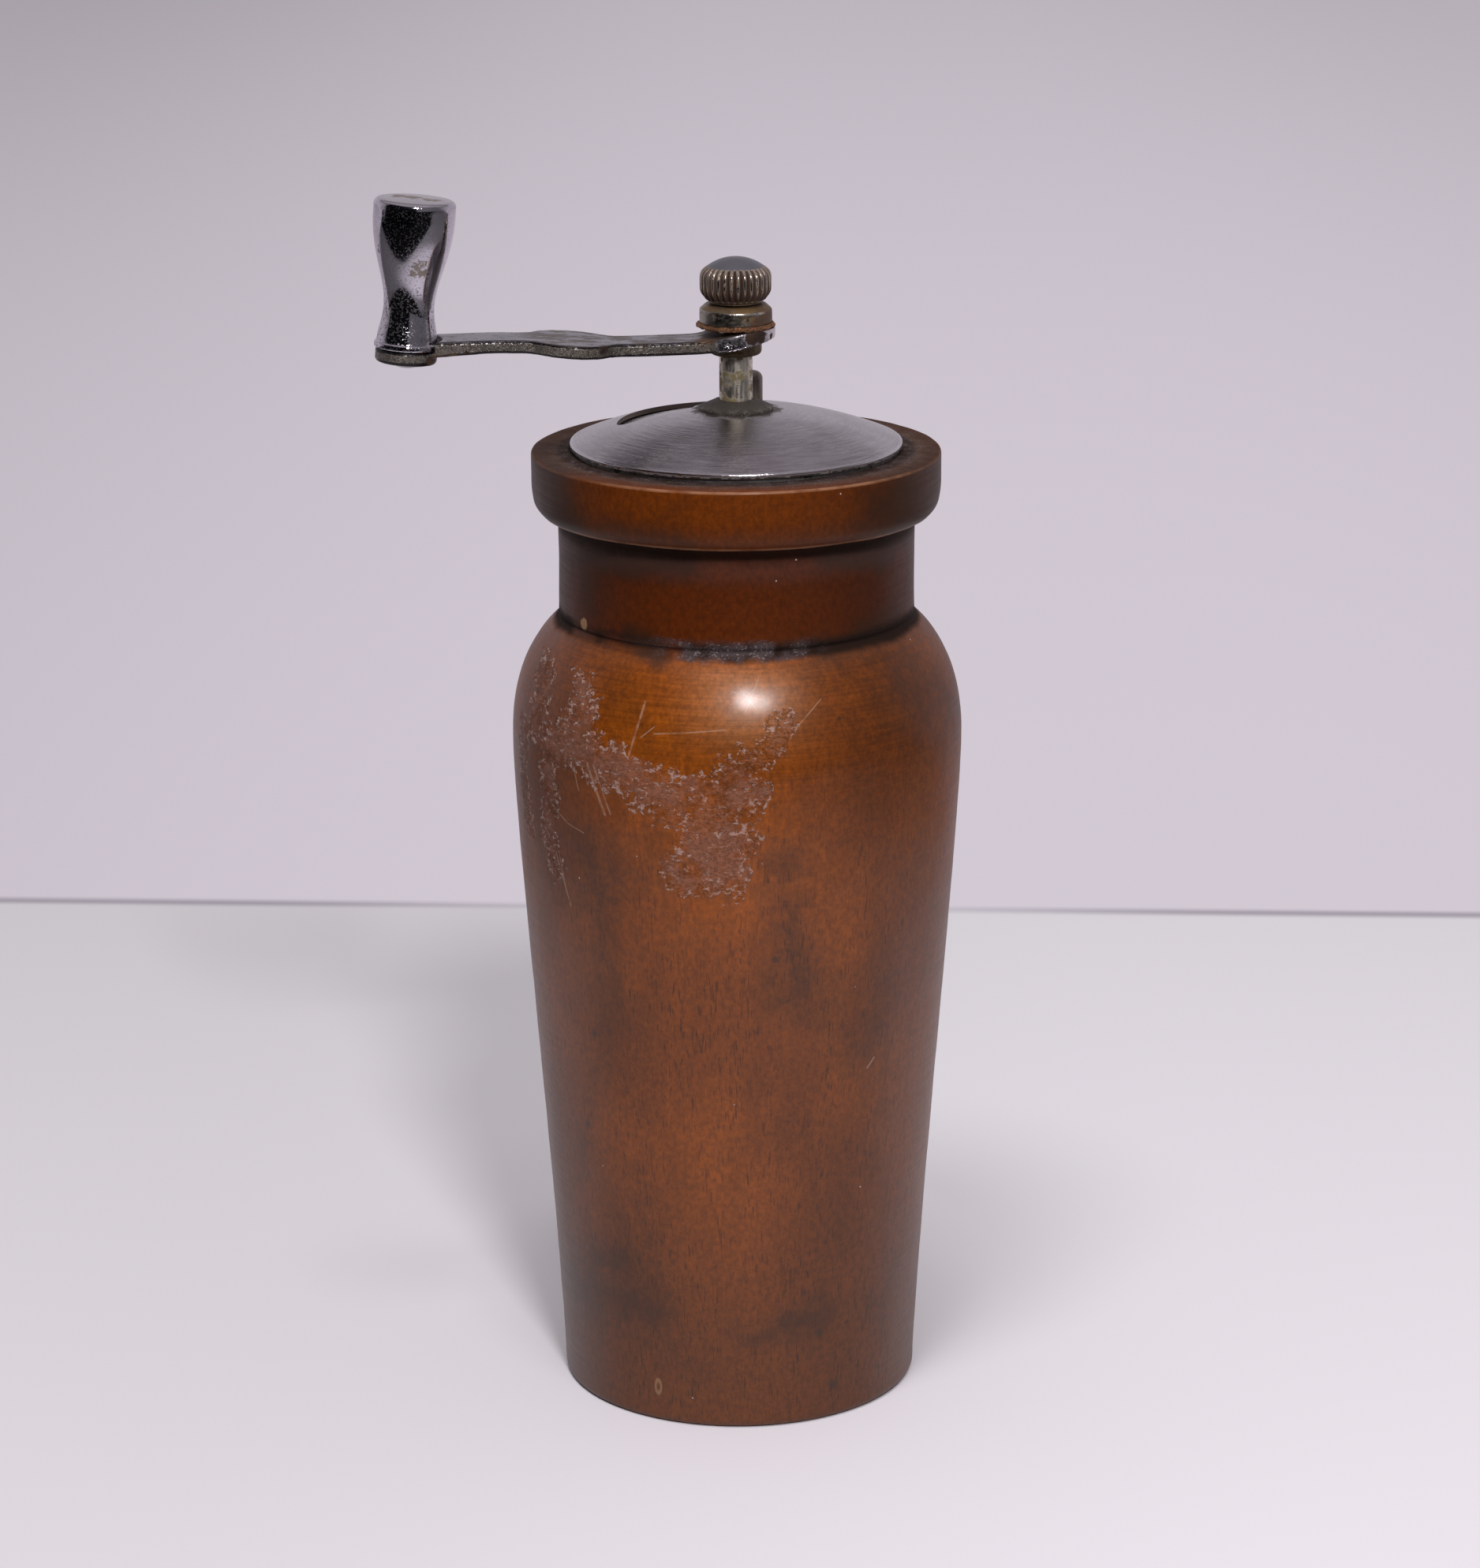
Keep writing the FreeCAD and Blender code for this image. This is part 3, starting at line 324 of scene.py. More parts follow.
def wood_finish():
    finish, shader, at = new_finish("oiled wood")
    r = radius(at)
    faced = node("ShaderNodeVectorRotate", at, None, None, -front, rotation_type="Z_AXIS")
    forward, across, z = parts(faced)
    u = sums("ARCTAN2", across, forward) * r
    unrolled = node("ShaderNodeCombineXYZ", u, z, 0)

    blotches = noise(at, 24, 3, (1, 1, 1.4))
    colour = blend(between(blotches, 0.36, 0.66), orange_wood, brown_wood)
    streaks = noise(at, 3, 3, (1, 1, 8))
    colour = scaled(colour, between(streaks, 0.2, 0.8, 0.88, 1.12))
    low = between(z + blotches * 50, 75, 25)
    colour = blend(low, colour, grey_wood)
    colour = scaled(colour, between(z, 5, 90, 0.82, 1.05))
    # Painted light: the lower right of the body is lighter.
    colour = scaled(colour, 1 + between(u, 12, 24, 0, 0.25) * between(z, 50, 30))
    colour = blend(between(z, 121.5, 123.5), colour, neck_wood)
    # A tan band at the front of the shoulder: worn finish, and a painted glow round its highlight.
    shoulder = between(z, 108, 115) * between(z, 123, 119.5)
    colour = blend(shoulder * between(abs(u - 1), 13, 1, 0, 0.6), colour, tan_wood_and_glow)
    side = abs(u + 3) + (blotches - 0.5) * 14
    # The collar darkens to the sides and towards its lower edge: grime from handling and painted shade.
    handled_and_shaded = blend(between(side, 18, 36), collar_wood, collar_grime_and_shade)
    handled_and_shaded = scaled(handled_and_shaded, between(z, 140, 144.5, 0.78, 1))
    colour = blend(between(z, collar_low_z - 0.1, collar_low_z + 0.1), colour, handled_and_shaded)
    # Painted shade: the body is lighter in front and darker to the sides, and a little lighter again at the
    # back.
    colour = scaled(colour, between(side, 4, 30, 1.2, 0.76) + between(side, 34, 60, 0, 0.2))
    turning = noise(at, 0.9, 3, (14, 14, 0.4))
    turned_band = between(z, 98, 110) * between(z, 124, 122)
    lines = (turning - 0.5) * (0.16 + turned_band * 0.8)
    colour = scaled(colour, 1 + lines)
    grain = noise(at, 0.3, 2, (1, 1, 9))
    dashes = between(grain, 0.54, 0.7) * between(z, 118, 80, 0.15, 1)
    dashes *= between(streaks, 0.35, 0.65, 0.25, 1)
    colour = scaled(colour, 1 - dashes * 0.6)
    mottled = noise(at, 0.75, 4, (1, 1, 1.3), 0.75)
    colour = scaled(colour, between(mottled, 0.3, 0.7, 0.74, 1.26))
    # Dark smudges: dirt, and painted shade.
    smudge_and_shade = painted(at, "smudge_and_shade") + (noise(at, 3, 6, (1, 1, 1), 0.6) - 0.5) * 0.7
    colour = blend(between(smudge_and_shade, 0.12, 0.85, 0, 0.8), colour, smudge_and_shade_brown)

    ragged = (noise(at, 4, 6, (1, 1, 1), 0.6) - 0.5) * between(abs(u + 10), 26, 12, 1, 2.2)
    edge = z + ragged
    groove = between(edge, 121.4, 122.4) * between(edge, 125.2, 123.6)
    reddish = between(u, -7, -10) * between(u, -24, -20)
    groove *= 1 - reddish * between(edge, 124.4, 123.6, 0, 0.7)
    torn = between(u, -22.5, -25.5) * between(u, -32, -29)
    groove *= 1 - torn * 0.6
    # Grime and painted shade darken the corner under the collar.
    corner = between(edge, 135.2, 137.6, 0, 0.74) * between(z, 138.95, 138.8)
    on_top = between(z, body_height - 0.18, body_height - 0.04)
    top = on_top * between(r + ragged * 2, 31, 26.5, 0.2, 0.9)
    dirt_and_shade = most(most(groove, corner), top)
    colour = blend(dirt_and_shade * 0.95, colour, blend(top, grime_and_shade, top_dirt))
    colour = blend(between(r + ragged * 0.5, 27.8, 26.4, 0, 0.85) * on_top, colour, grime_and_shade)
    in_front = between(abs(u + 1), 16, 8)
    settled = most(groove * in_front, top * 0.5) * between(noise(at, 2.5, 3), 0.3, 0.65)
    specks = between(noise(at, 0.28, 3, (1.6, 1.6, 1)), 0.56, 0.64)
    colour = blend(settled * (0.15 + specks * 0.44), colour, dust_and_sheen)
    # A painted sheen line on the neck below the collar's dark band.
    sheen_band = between(edge, 132, 135.4) * between(edge, 137.4, 135.6)
    colour = blend(sheen_band * 0.05, colour, dust_and_sheen)
    # Lighter worn edges on the collar's lower arris and top edge, with a painted highlight on the top edge
    # at the front.
    arris = between(z, 138.7, 138.85) * between(z, 139.4, 139.05) * between(r, 28.9, 29.3)
    rim = between(r, 30.55, 30.75) * between(z, 147.45, 147.65)
    rim *= between(abs(u - 5), 34, 12, 0.2, 1)
    rubbed_and_highlight = most(arris, rim) * between(streaks, 0.25, 0.6, 0.3, 1)
    colour = blend(rubbed_and_highlight * 0.55, colour, rubbed_wood_and_highlight)

    worn, milky, crusted = painted(at, "worn"), painted(at, "milky"), painted(at, "crusted")
    crumbs = noise(at, 1.9, 8, (1, 1, 1.2), 0.62) - 0.5
    lifted = worn + crumbs * 2
    film = between(lifted, 0.38, 0.44) * between(worn, 0.02, 0.12)
    glinting_lip = film * between(lifted, 0.62, 0.48)
    fine = noise(at, 0.8, 5, (1.3, 1.3, 0.8), 0.65)
    cloudy = milky + (fine - 0.5) * 1.6 + (noise(at, 3.4, 4) - 0.5) * 2.4
    colour = blend(film * between(cloudy, -0.1, 1, 0.04, 0.56), colour, flaked_film)
    cracks = film * between(abs(fine - 0.47), 0.035, 0)
    colour = blend(cracks * 0.55, colour, smudge_and_shade_brown)
    # Pale flecks where the finish is crusted, with painted glints among them and along the flaked film's
    # edges.
    clusters = between(noise(at, 1.6, 5, (1.4, 1.4, 1), 0.6), 0.44, 0.62)
    glinting_flecks = between(noise(at, 0.5, 3, (1.5, 1.5, 0.8), 0.6), 0.56, 0.64)
    glinting_flecks = glinting_flecks * film * (clusters * between(crusted, 0, 0.5))
    colour = blend(glinting_flecks * 0.42, colour, flecks_and_glints)
    colour = blend(glinting_lip * between(fine, 0.48, 0.6, 0, 0.38), colour, flecks_and_glints)

    scratched = 0.0
    for start, end, width in (
        ((-12.5, 111.9), (-1.7, 113), 0.17), ((-14.6, 111.2), (-12.4, 112.9), 0.13),
        ((-13.9, 116.2), (-16.6, 108.4), 0.26), ((-32.3, 97.9), (-28.5, 95.8), 0.15),
        ((-28.5, 95.8), (-25.1, 95), 0.12), ((-31.7, 90.5), (-28.4, 82.6), 0.2),
        ((-31, 90.8), (-29.4, 85), 0.16), ((-24.1, 105.8), (-20.9, 98.7), 0.34),
        ((-22.9, 105.9), (-19.9, 98.9), 0.22), ((1.3, 115.6), (3.2, 120), 0.16),
        ((-0.8, 118.2), (3.9, 116.9), 0.13), ((0, 119), (2.8, 115.8), 0.12),
        ((0.6, 116.6), (2.6, 118.6), 0.12), ((8.5, 112.8), (12.6, 116.6), 0.14),
        ((21, 57.6), (22.3, 59), 0.24), ((-27, 105), (-26, 101.5), 0.14),
    ):
        scratched = most(scratched, scratch(unrolled, start, end, width))
    thin = scratched * between(noise(at, 1.2, 2), 0.3, 0.55, 0.35, 1)
    colour = blend(thin * 0.5, colour, scratched_wood)

    bruises = 0.0
    for spot, size in (
        ((5.6, 77.3), 0.8), ((-24, 62.8), 1.1), ((-26.1, 47.1), 0.8), ((10.2, 22), 0.9),
        ((15.3, 5.6), 1.3), ((7.4, 70.6), 0.5), ((-0.6, 75.9), 0.5), ((15.5, 113.6), 0.5),
        ((7.6, 51), 0.5), ((12.6, 15), 1.1), ((17.5, 15.6), 0.7), ((13.5, 121.6), 0.5),
    ):
        gap = distance(unrolled, (*spot, 0)) + crumbs * 2.2
        bruises = most(bruises, between(gap, size, size * 0.1))
    colour = blend(bruises * 0.7, colour, bruise_brown)
    oval = node("ShaderNodeVectorMath", unrolled, (-13, 5.8, 0), operation="SUBTRACT")
    oval = node("ShaderNodeVectorMath", oval, (1, 0.45, 1), operation="MULTIPLY")
    oval = node("ShaderNodeVectorMath", oval, out=1, operation="LENGTH")
    chip = between(oval, 0.75, 0.55) * between(oval, 0.15, 0.45)
    splinter = between(distance(unrolled, (-27, 124.3, 0)) + crumbs * 3, 1.1, 0.7)
    colour = blend(most(chip * 0.6, splinter) * 0.8, colour, split_wood)
    motes = node("ShaderNodeTexVoronoi", at, None, 0.14, out="Distance")
    colour = blend(between(motes, 0.02, 0.012), colour, mote_grey)
    feed(shader, "Base Color", colour)

    rough = 0.5 + film * 0.02 + on_top * 0.2 + dirt_and_shade * 0.3
    feed(shader, "Roughness", rough + between(turning, 0.2, 0.8, -0.05, 0.05))
    shader.inputs["Specular IOR Level"].default_value = 0.20
    shader.inputs["Specular Tint"].default_value = (1.0, 0.75, 0.52, 1)
    clean = 1 - most(dirt_and_shade, film * 0.7)
    polish = clean * between(z, 124.5, 121.5, 0.08, 0.28)
    dull = between(u, 12, 32, 0, 0.4) * between(z, 85, 105)
    rubbed_sides = between(abs(u), 18, 30, 0, 0.5) * between(z, 95, 70)
    feed(shader, "Coat Weight", polish * (1 + rubbed_sides - dull))
    shader.inputs["Coat IOR"].default_value = 2.1
    shader.inputs["Coat Roughness"].default_value = 0.27
    relief = lines * 0.8 - dashes * 0.4
    relief += film * (0.8 + (crumbs + (fine - 0.5)) * 5)
    relief += glinting_flecks * 1.2 - cracks + specks * (dirt_and_shade * 0.8) - thin * 0.6
    feed(shader, "Normal", node("ShaderNodeBump", 0.6, 0.00006, None, relief))
    return finish


flank = smooth([(foot_r, foot_round), (29.3, 30.0), (33.65, 88.0), (belly_r, belly_z)],
               (0.04, 1.0), (0.0, 1.0), 1.1)
shoulder_line = smooth([(belly_r, belly_z), (shoulder_r, shoulder_z), (neck_r, groove_z)],
                       (0.0, 1.0), (-1.0, 0.75), 0.7)
outside = outline([(recess_r, 0), (foot_r, 0, foot_round), (foot_r, foot_round * 1.01)], 1.0)
outside += flank[1:] + shoulder_line[1:]
outside += outline([
    (neck_r, groove_z), (neck_r - groove_depth, groove_z + groove_width / 2, 0.3),
    (neck_r, groove_z + groove_width, 0.3), (neck_r - 0.15, 131.0, 4.0), (neck_r, collar_low_z, 0.5),
    (collar_r - 1.5, collar_low_z, 0.3), (collar_r - 0.4, collar_low_z + 1.2, 0.8),
    (collar_r, collar_low_z + 3.4, 1.4), (collar_r, body_height, 0.45), (chamber_r + 0.6, body_height),
], 0.8)[1:]
outside = [(r - 0.05 * min(1.0, z / 3), z, min(1.0, z / 3)) for r, z, _ in outside]
inside = outline([
    (chamber_r, body_height - 0.6), (chamber_r, funnel_top_z), (funnel_low_r, grinder_top_z),
    (grinder_r, grinder_top_z), (grinder_r, recess_z), (recess_r, recess_z), (recess_r, 0.3), (recess_r, 0),
], 6.0, free=0.0)
wood = turned("wooden_body", outside + inside, wood_finish(), wood_steps, unevenness=0.06, uneven_size=9.0)

# Where the finish has flaked: strokes of places (u, z) on the unrolled front, each with its half width,
# and how milky and how crusted it is; and dark smudges, each with its half width and strength. The
# smudges are partly dirt and partly painted shade: under the collar, at the collar's and shoulder's sides
# and on the front of the body.
flaked = (
    (((-36.5, 116.4), (-35.8, 114.5), (-37.5, 110)), 3.2, 0.5, 0.7),
    (((-25.5, 115.6), (-25.2, 112.5), (-28.2, 108.6), (-32, 106.5)), 3.2, 0.7, 0.9),
    (((-28.2, 108.6), (-20, 106.5), (-12.4, 103.8), (-8, 102.5)), 3.9, 0.8, 0.9),
    (((-32, 108), (-33.5, 101), (-33.5, 93), (-32, 88)), 2.3, 0.5, 0.9),
    (((-42, 108), (-42, 98), (-40, 92)), 2.2, 0.4, 0.7),
    (((-8, 103.5), (-4, 104.5), (0.6, 107.5), (4.5, 110), (7, 113.5)), 2.4, 0.25, 0.7),
    (((-8, 101.5), (-3, 100), (-1, 102.5)), 4.8, 0.6, 0.35),
    (((-4.6, 98), (-5.6, 93), (-1.5, 91), (-1, 95.5)), 3.9, 0.9, 0.3),
    (((-10, 91.5), (-9, 89.5), (-6, 90)), 2.2, 0.8, 0.25), (((0.6, 105.5), (3.5, 103.5)), 2.4, 0.5, 0.5),
)
smudges_and_shade = (
    (((-35, 17.6), (-22.7, 19.3), (-13.5, 18.8)), 6, 0.62), (((-17.6, 26), (-26, 24)), 4, 0.6),
    (((12.9, 18.2), (8, 17)), 3.6, 0.62), (((5.8, 16.5), (1, 15)), 3.4, 0.5),
    (((28.6, 22.6), (26, 14), (22, 18)), 4.2, 0.35), (((17.4, 58.9), (22.6, 64.3)), 5, 0.45),
    (((24.8, 44), (24.7, 76.7)), 4, 0.3), (((-22.8, 64.4), (-27.3, 43.5)), 4, 0.4),
    (((12, 122), (24, 121), (34, 119)), 3.8, 0.55), (((-18, 117), (-13, 111), (-6, 108)), 5, 0.42),
    (((-20, 141.5), (-9, 140.6)), 2.4, 0.55), (((-24, 92), (-22, 80), (-21, 68)), 6.5, 0.55),
    (((7, 93), (8, 83), (9, 72)), 5, 0.6), (((-15, 103), (-13, 96), (-14, 90)), 4.5, 0.42),
    (((-16, 42), (-14, 26), (-10, 12)), 8, 0.38), (((-25, 135.4), (-17, 135.8), (-8, 136.6)), 2.6, 1),
    (((14, 136.6), (27, 135)), 2, 1), (((-26, 129), (-27, 134)), 4, 0.65),
    (((-16.5, 124.4), (-12, 122.6)), 1.7, 1.1), (((20, 124), (29, 125.5)), 2.6, 0.7),
    (((27, 117.5), (36, 113.5), (48, 109)), 8, 0.6), (((-33, 146), (-30, 141)), 4.2, 0.9),
    (((22, 143.5), (31, 145)), 4, 0.7), (((-8, 146), (-14, 141)), 1.6, 0.4),
    (((60, 30), (66, 44)), 7, 0.5), (((-62, 96), (-74, 90)), 6, 0.5), (((84, 66), (90, 82)), 6, 0.45),
)


def corner_values(piece, kind):
    """The places or the normals of a piece's corners."""
    values = np.empty(len(piece.data.vertices) * 3)
    piece.data.vertices.foreach_get(kind, values)
    return values.reshape(-1, 3)


spots = corner_values(wood, "co") / mm
from_front = (np.arctan2(spots[:, 1], spots[:, 0]) - front + math.pi) % (2 * math.pi) - math.pi
unrolled = np.column_stack([from_front * np.hypot(spots[:, 0], spots[:, 1]), spots[:, 2]])
for name, reach, strokes in (
    ("worn", 1.6, [(stroke, half_width, 1.0) for stroke, half_width, _, _ in flaked]),
    ("milky", 1.6, [(stroke, half_width, film) for stroke, half_width, film, _ in flaked]),
    ("crusted", 1.6, [(stroke, half_width, crust) for stroke, half_width, _, crust in flaked]),
    ("smudge_and_shade", 2.0, smudges_and_shade),
):
    share = np.zeros(len(spots))
    for stroke, half_width, weight in strokes:
        for start, end in zip(stroke, stroke[1:]):
            start, run = np.array(start), np.array(end) - np.array(start)
            along = np.clip((unrolled - start) @ run / (run @ run), 0, 1)
            gap = np.hypot(*(unrolled - start - along[:, None] * run).T)
            share = np.maximum(share, weight * (1 - gap / (reach * half_width)))
    wood.data.attributes.new(name, "FLOAT", "POINT").data.foreach_set("value", share)
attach(wood, "mill")
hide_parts("wood_body")


# The grinder: a hardened iron ring and cone, held under a steel bridge whose cup houses the spring, with
# a bronze bush for the spindle. All of it is inside the foot, and only its underside shows.
bright_steel = (0.42, 0.41, 0.40, 1)
old_bronze = (0.42, 0.27, 0.11, 1)
burr_iron = (0.11, 0.10, 0.10, 1)
oily_dirt = (0.035, 0.025, 0.018, 1)
pale_salt = (0.62, 0.60, 0.58, 1)


def metal_finish(name, colour, roughness, stain, stain_share, drawn=(1, 1, 1), drawn_size=0.5,
                 streaks=0.12, marks=(), pits=0.0, centre=(0, 0, 0), lean=0.0, relief=0.00003):
    """A worn metal: drawn is the way it was brushed or turned, and each mark is another colour on it."""
    finish, shader, at = new_finish(name)
    at = node("ShaderNodeVectorMath", at, centre, operation="SUBTRACT")
    at = node("ShaderNodeVectorRotate", at, None, None, -lean, rotation_type="Y_AXIS")
    lines = noise(at, drawn_size, 3, drawn)
    clouds = noise(at, 4, 4)
    base = blend(between(clouds, 0.3, 0.7), colour, [c * 0.86 for c in colour[:3]] + [1])
    base = scaled(base, between(lines, 0.2, 0.8, 1 - streaks, 1 + streaks))
    rough = roughness + between(lines, 0.2, 0.8, -streaks / 2, streaks / 2)
    rough += between(clouds, 0.3, 0.8, 0, 0.1)
    metallic, height = 1.0, lines
    patches = noise(at, 1.8, 8, roughness=0.65)
    edge = 0.72 - 0.42 * stain_share
    layers = [(between(patches, edge, edge + 0.1), stain, 0.62, 0.25, 0.5)]
    if pits:
        layers.append((between(noise(at, 0.32, 1), 0.8 - pits, 0.86 - pits), oily_dirt, 0.7, 0.3, -0.8))
    for mark, tint, gloss, metal, rise in marks:
        layers.append((mark(at, patches), tint, gloss, metal, rise))
    for share, tint, gloss, metal, rise in layers:
        base = blend(share, base, tint)
        rough = rough * (1 - share) + share * gloss
        metallic = metallic * (1 - share) + share * metal
        height += share * (rise * 3)
    feed(shader, "Base Color", base)
    feed(shader, "Roughness", rough)
    feed(shader, "Metallic", metallic)
    feed(shader, "Normal", node("ShaderNodeBump", 0.5, relief, None, height))
    return finish


def coat(mesh, finish):
    mesh.materials.clear()
    mesh.materials.append(finish)


def dress(finish, *names):
    """Gives CAD nodes that keep their shape a finish."""
    for name in names:
        coat(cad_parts[name].data, finish)


def salt_dust(at, patches):
    return between(noise(at, 0.7, 4), 0.56, 0.66) * 0.6


grinder_steel = metal_finish("bright steel", bright_steel, 0.32, oily_dirt, 0.25, (1, 1, 6))
dress(grinder_steel, "grinder_bridge", "sleeve_clip", "spring_washer", "centre_rod", "drive_pin",
      "burr_washer", "burr_nut")
dress(metal_finish("bronze", old_bronze, 0.34, oily_dirt, 0.2), "bridge_bush")
dress(metal_finish("burr iron", burr_iron, 0.55, oily_dirt, 0.3, pits=0.2,
                   marks=[(salt_dust, pale_salt, 0.8, 0.0, 0.5)]), "burr_ring", "burr_cone")


# The coil spring that presses the burr down: steel wire, wound on a mandrel, with ground ends.
def merged_shape(name):
    """A CAD node's shape as a copy, with its loose faces joined."""
    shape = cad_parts[name].data.copy()
    joined = bmesh.new()
    joined.from_mesh(shape)
    bmesh.ops.remove_doubles(joined, verts=joined.verts, dist=2e-6)
    joined.to_mesh(shape)
    joined.free()
    return shape


wire = merged_shape("grinder_spring")
coat(wire, grinder_steel)
coil = stand("coil_spring", wire)
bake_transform(coil)
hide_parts("grinder_spring")


# The plate that holds the grinder in the foot: dull steel sheet with three slotted wood screws, which the
# screwdriver has polished round their slots.
sheet_steel = (0.34, 0.33, 0.32, 1)
screw_steel = (0.45, 0.43, 0.40, 1)
rust_brown = (0.16, 0.065, 0.028, 1)
dress(metal_finish("plate steel", sheet_steel, 0.42, rust_brown, 0.35, (5, 1, 1), 0.6, 0.18,
                   marks=[(salt_dust, pale_salt, 0.8, 0.0, 0.4)]), "base_plate")
dress(metal_finish("screw steel", screw_steel, 0.30, rust_brown, 0.4, (1, 1, 4), 0.4), "base_screws")


# The lid ring and the domed cover: pressed steel, the cover plated and brushed in rings while it turned.
# A gummy ring of grime lies round its bearing, and its rim is polished by lifting hands.
lid_plate = (0.43, 0.405, 0.425, 1)
hazy_plate = (0.35, 0.325, 0.34, 1)
polished_rim = (0.75, 0.72, 0.74, 1)
cut_steel = (0.13, 0.10, 0.085, 1)
lid_grime = (0.030, 0.024, 0.019, 1)
dull_steel = (0.26, 0.25, 0.245, 1)
shutter_steel = (0.46, 0.44, 0.46, 1)


def uprightness(at):
    """How far a face looks up or down, from 0 to 1."""
    return abs(parts(node("ShaderNodeNewGeometry", tree=at.tree, out="Normal"))[2])


def cover_finish():
    finish, shader, at = new_finish("brushed chrome")
    x, y, z = parts(at)
    r = radius(at)
    turn = sums("ARCTAN2", y, x)
    round_it = node("ShaderNodeCombineXYZ", r * 2.4, sums("COSINE", turn) * 4, sums("SINE", turn) * 4)
    brushed = noise(round_it, 1, 5, roughness=0.7)
    haze = noise(at, 7, 4)
    patches = noise(at, 1.6, 8, roughness=0.65)
    base = blend(between(haze, 0.35, 0.7), lid_plate, hazy_plate)
    base = scaled(base, between(brushed, 0.25, 0.75, 0.76, 1.22))
    worn = between(r + patches * 0.8, 24.9, 25.3)
    base = blend(worn * 0.4, base, polished_rim)
    gum = between(r + (patches - 0.5) * 5, 7.2, 6.2)
    pits = between(noise(at, 0.55, 1), 0.74, 0.8)
    dark = most(gum, pits * 0.7)
    dark = most(dark, between(z, 149, 148.75) * between(patches, 0.35, 0.55))
    base = blend(dark, base, lid_grime)
    cut_edge = between(uprightness(at), 0.6, 0.4) * between(r, 24.6, 24.2)
    base = blend(cut_edge, base, cut_steel)
    dark = most(dark, cut_edge)
    feed(shader, "Base Color", base)
    feed(shader, "Roughness", between(brushed, 0.2, 0.8, 0.13, 0.24) + dark * 0.3)
    feed(shader, "Metallic", 1 - dark * 0.8)
    height = brushed + gum * patches
    feed(shader, "Normal", node("ShaderNodeBump", 0.9, 0.00012, None, height))
    return finish


dress(cover_finish(), "lid_cover")
dress(metal_finish("dull steel", dull_steel, 0.42, lid_grime, 0.45, (1, 1, 5)),
      "lid_ring", "shutter_washer", "bushing_nut")
dress(metal_finish("shutter plate", shutter_steel, 0.22, lid_grime, 0.2), "shutter_plate")


# The lid's bearing and the shutter's peg: turned steel, zinc-plated, stained by salt and caked with grime
# at the foot. A nut under the cover holds the bearing, and the peg is pressed into the shutter.
grimy_zinc = (0.23, 0.205, 0.175, 1)
peg_zinc = (0.21, 0.19, 0.16, 1)
olive_stain = (0.13, 0.10, 0.042, 1)
bearing_grime = (0.040, 0.032, 0.025, 1)
flange_gum = (0.050, 0.042, 0.034, 1)


def gum_mark(at, patches):
    """Gum on the flange, thinner towards its edge."""
    return between(radius(at) + (patches - 0.5) * 2, 6.4, 4.2)


bearing = turned("lid_bearing", outline([
    (2.55, 148.49, 0.1), (3.1, 148.49, 0.1), (3.1, 152.39), (3.6, 152.39), (3.6, 154.0),
    (5.6, 154.0), (5.6, 154.4, 0.2), (2.95, 155.6, 0.2), (2.55, 155.6, 0.1),
], 0.5, closed=True), metal_finish(
    "grimy zinc", grimy_zinc, 0.40, bearing_grime, 0.60, pits=0.24, relief=0.00025,
    marks=[(gum_mark, flange_gum, 0.6, 0.3, 0.0)]), 120, unevenness=0.05, uneven_size=1.6)
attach(bearing, "mill")
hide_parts("lid_bushing")
dress(metal_finish("stained peg", peg_zinc, 0.40, olive_stain, 0.45, (1, 1, 5), 0.5, 0.2),
      "shutter_peg")


# The spindle: a hollow zinc-plated sleeve, drawn lengthways, with yellow and olive stains, and the brown
# turned collar on it that carries the crank.
spindle_zinc = (0.78, 0.72, 0.62, 1)
yellow_stain = (0.23, 0.185, 0.09, 1)
collar_brown = (0.19, 0.15, 0.095, 1)
collar_stain = (0.15, 0.095, 0.025, 1)
dress(metal_finish("stained zinc", spindle_zinc, 0.36, yellow_stain, 0.55, (1, 1, 7), 0.45, 0.25, pits=0.12),
      "drive_sleeve")
dress(metal_finish("brown collar", collar_brown, 0.42, collar_stain, 0.5, (1, 1, 4), 0.5, 0.2, pits=0.15),
      "hub_collar")


# The crank arm: a steel forging whose top and edges were ground and plated, and whose sides stay rough
# from the die. The plate has worn through on the lobe, and rust sits in two places.
arm_plate = (0.15, 0.145, 0.165, 1)
forged_skin = (0.27, 0.24, 0.205, 1)
bright_eye = (0.66, 0.62, 0.67, 1)
edge_shadow = (0.022, 0.020, 0.021, 1)
forge_scale = (0.040, 0.031, 0.022, 1)
worn_brown = (0.105, 0.075, 0.052, 1)
arm_stain = (0.16, 0.12, 0.085, 1)
dark_rust = (0.020, 0.008, 0.005, 1)
eye_rust = (0.105, 0.055, 0.028, 1)
boss_rust = (0.13, 0.075, 0.035, 1)


def spot_mark(places, ragged, strength=1.0):
    """Marks at places (x, y, z, size) in millimetres, with ragged edges."""
    def mark(at, patches):
        share = 0.0
        crumble = (patches + noise(at, 0.4, 3) * 0.5 - 0.75) * ragged
        for *place, size in places:
            gap = distance(at, place) + crumble
            share = most(share, between(gap, size, size * 0.7, 0, strength))
        return share
    return mark


def edge_mark(at, patches):
    """A painted dark reflection: the dark line under the ground edge, where the plate gives way to the
    forged side.
    """
    forged = painted(at, "forged")
    return between(forged, 0.1, 0.22) * between(forged, 0.93, 0.8, 0, 0.92)


def side_mark(at, patches):
    """The forged sides, and darker scale in their hollows."""
    return between(painted(at, "forged"), 0.82, 0.95) * between(noise(at, 0.35, 3), 0.3, 0.62, 0.6, 1)


def eye_mark(at, patches):
    """The eye's side keeps its bright plate."""
    return between(uprightness(at), 0.75, 0.45) * between(parts(at)[0] + patches * 2, -3.5, -1.5)


def scale_mark(at, patches):
    """Scale left by the forge, in flakes."""
    flakes = noise(at, 0.4, 4, roughness=0.7)
    return between(painted(at, "forged"), 0.5, 0.8) * between(flakes, 0.47, 0.6, 0, 0.85)


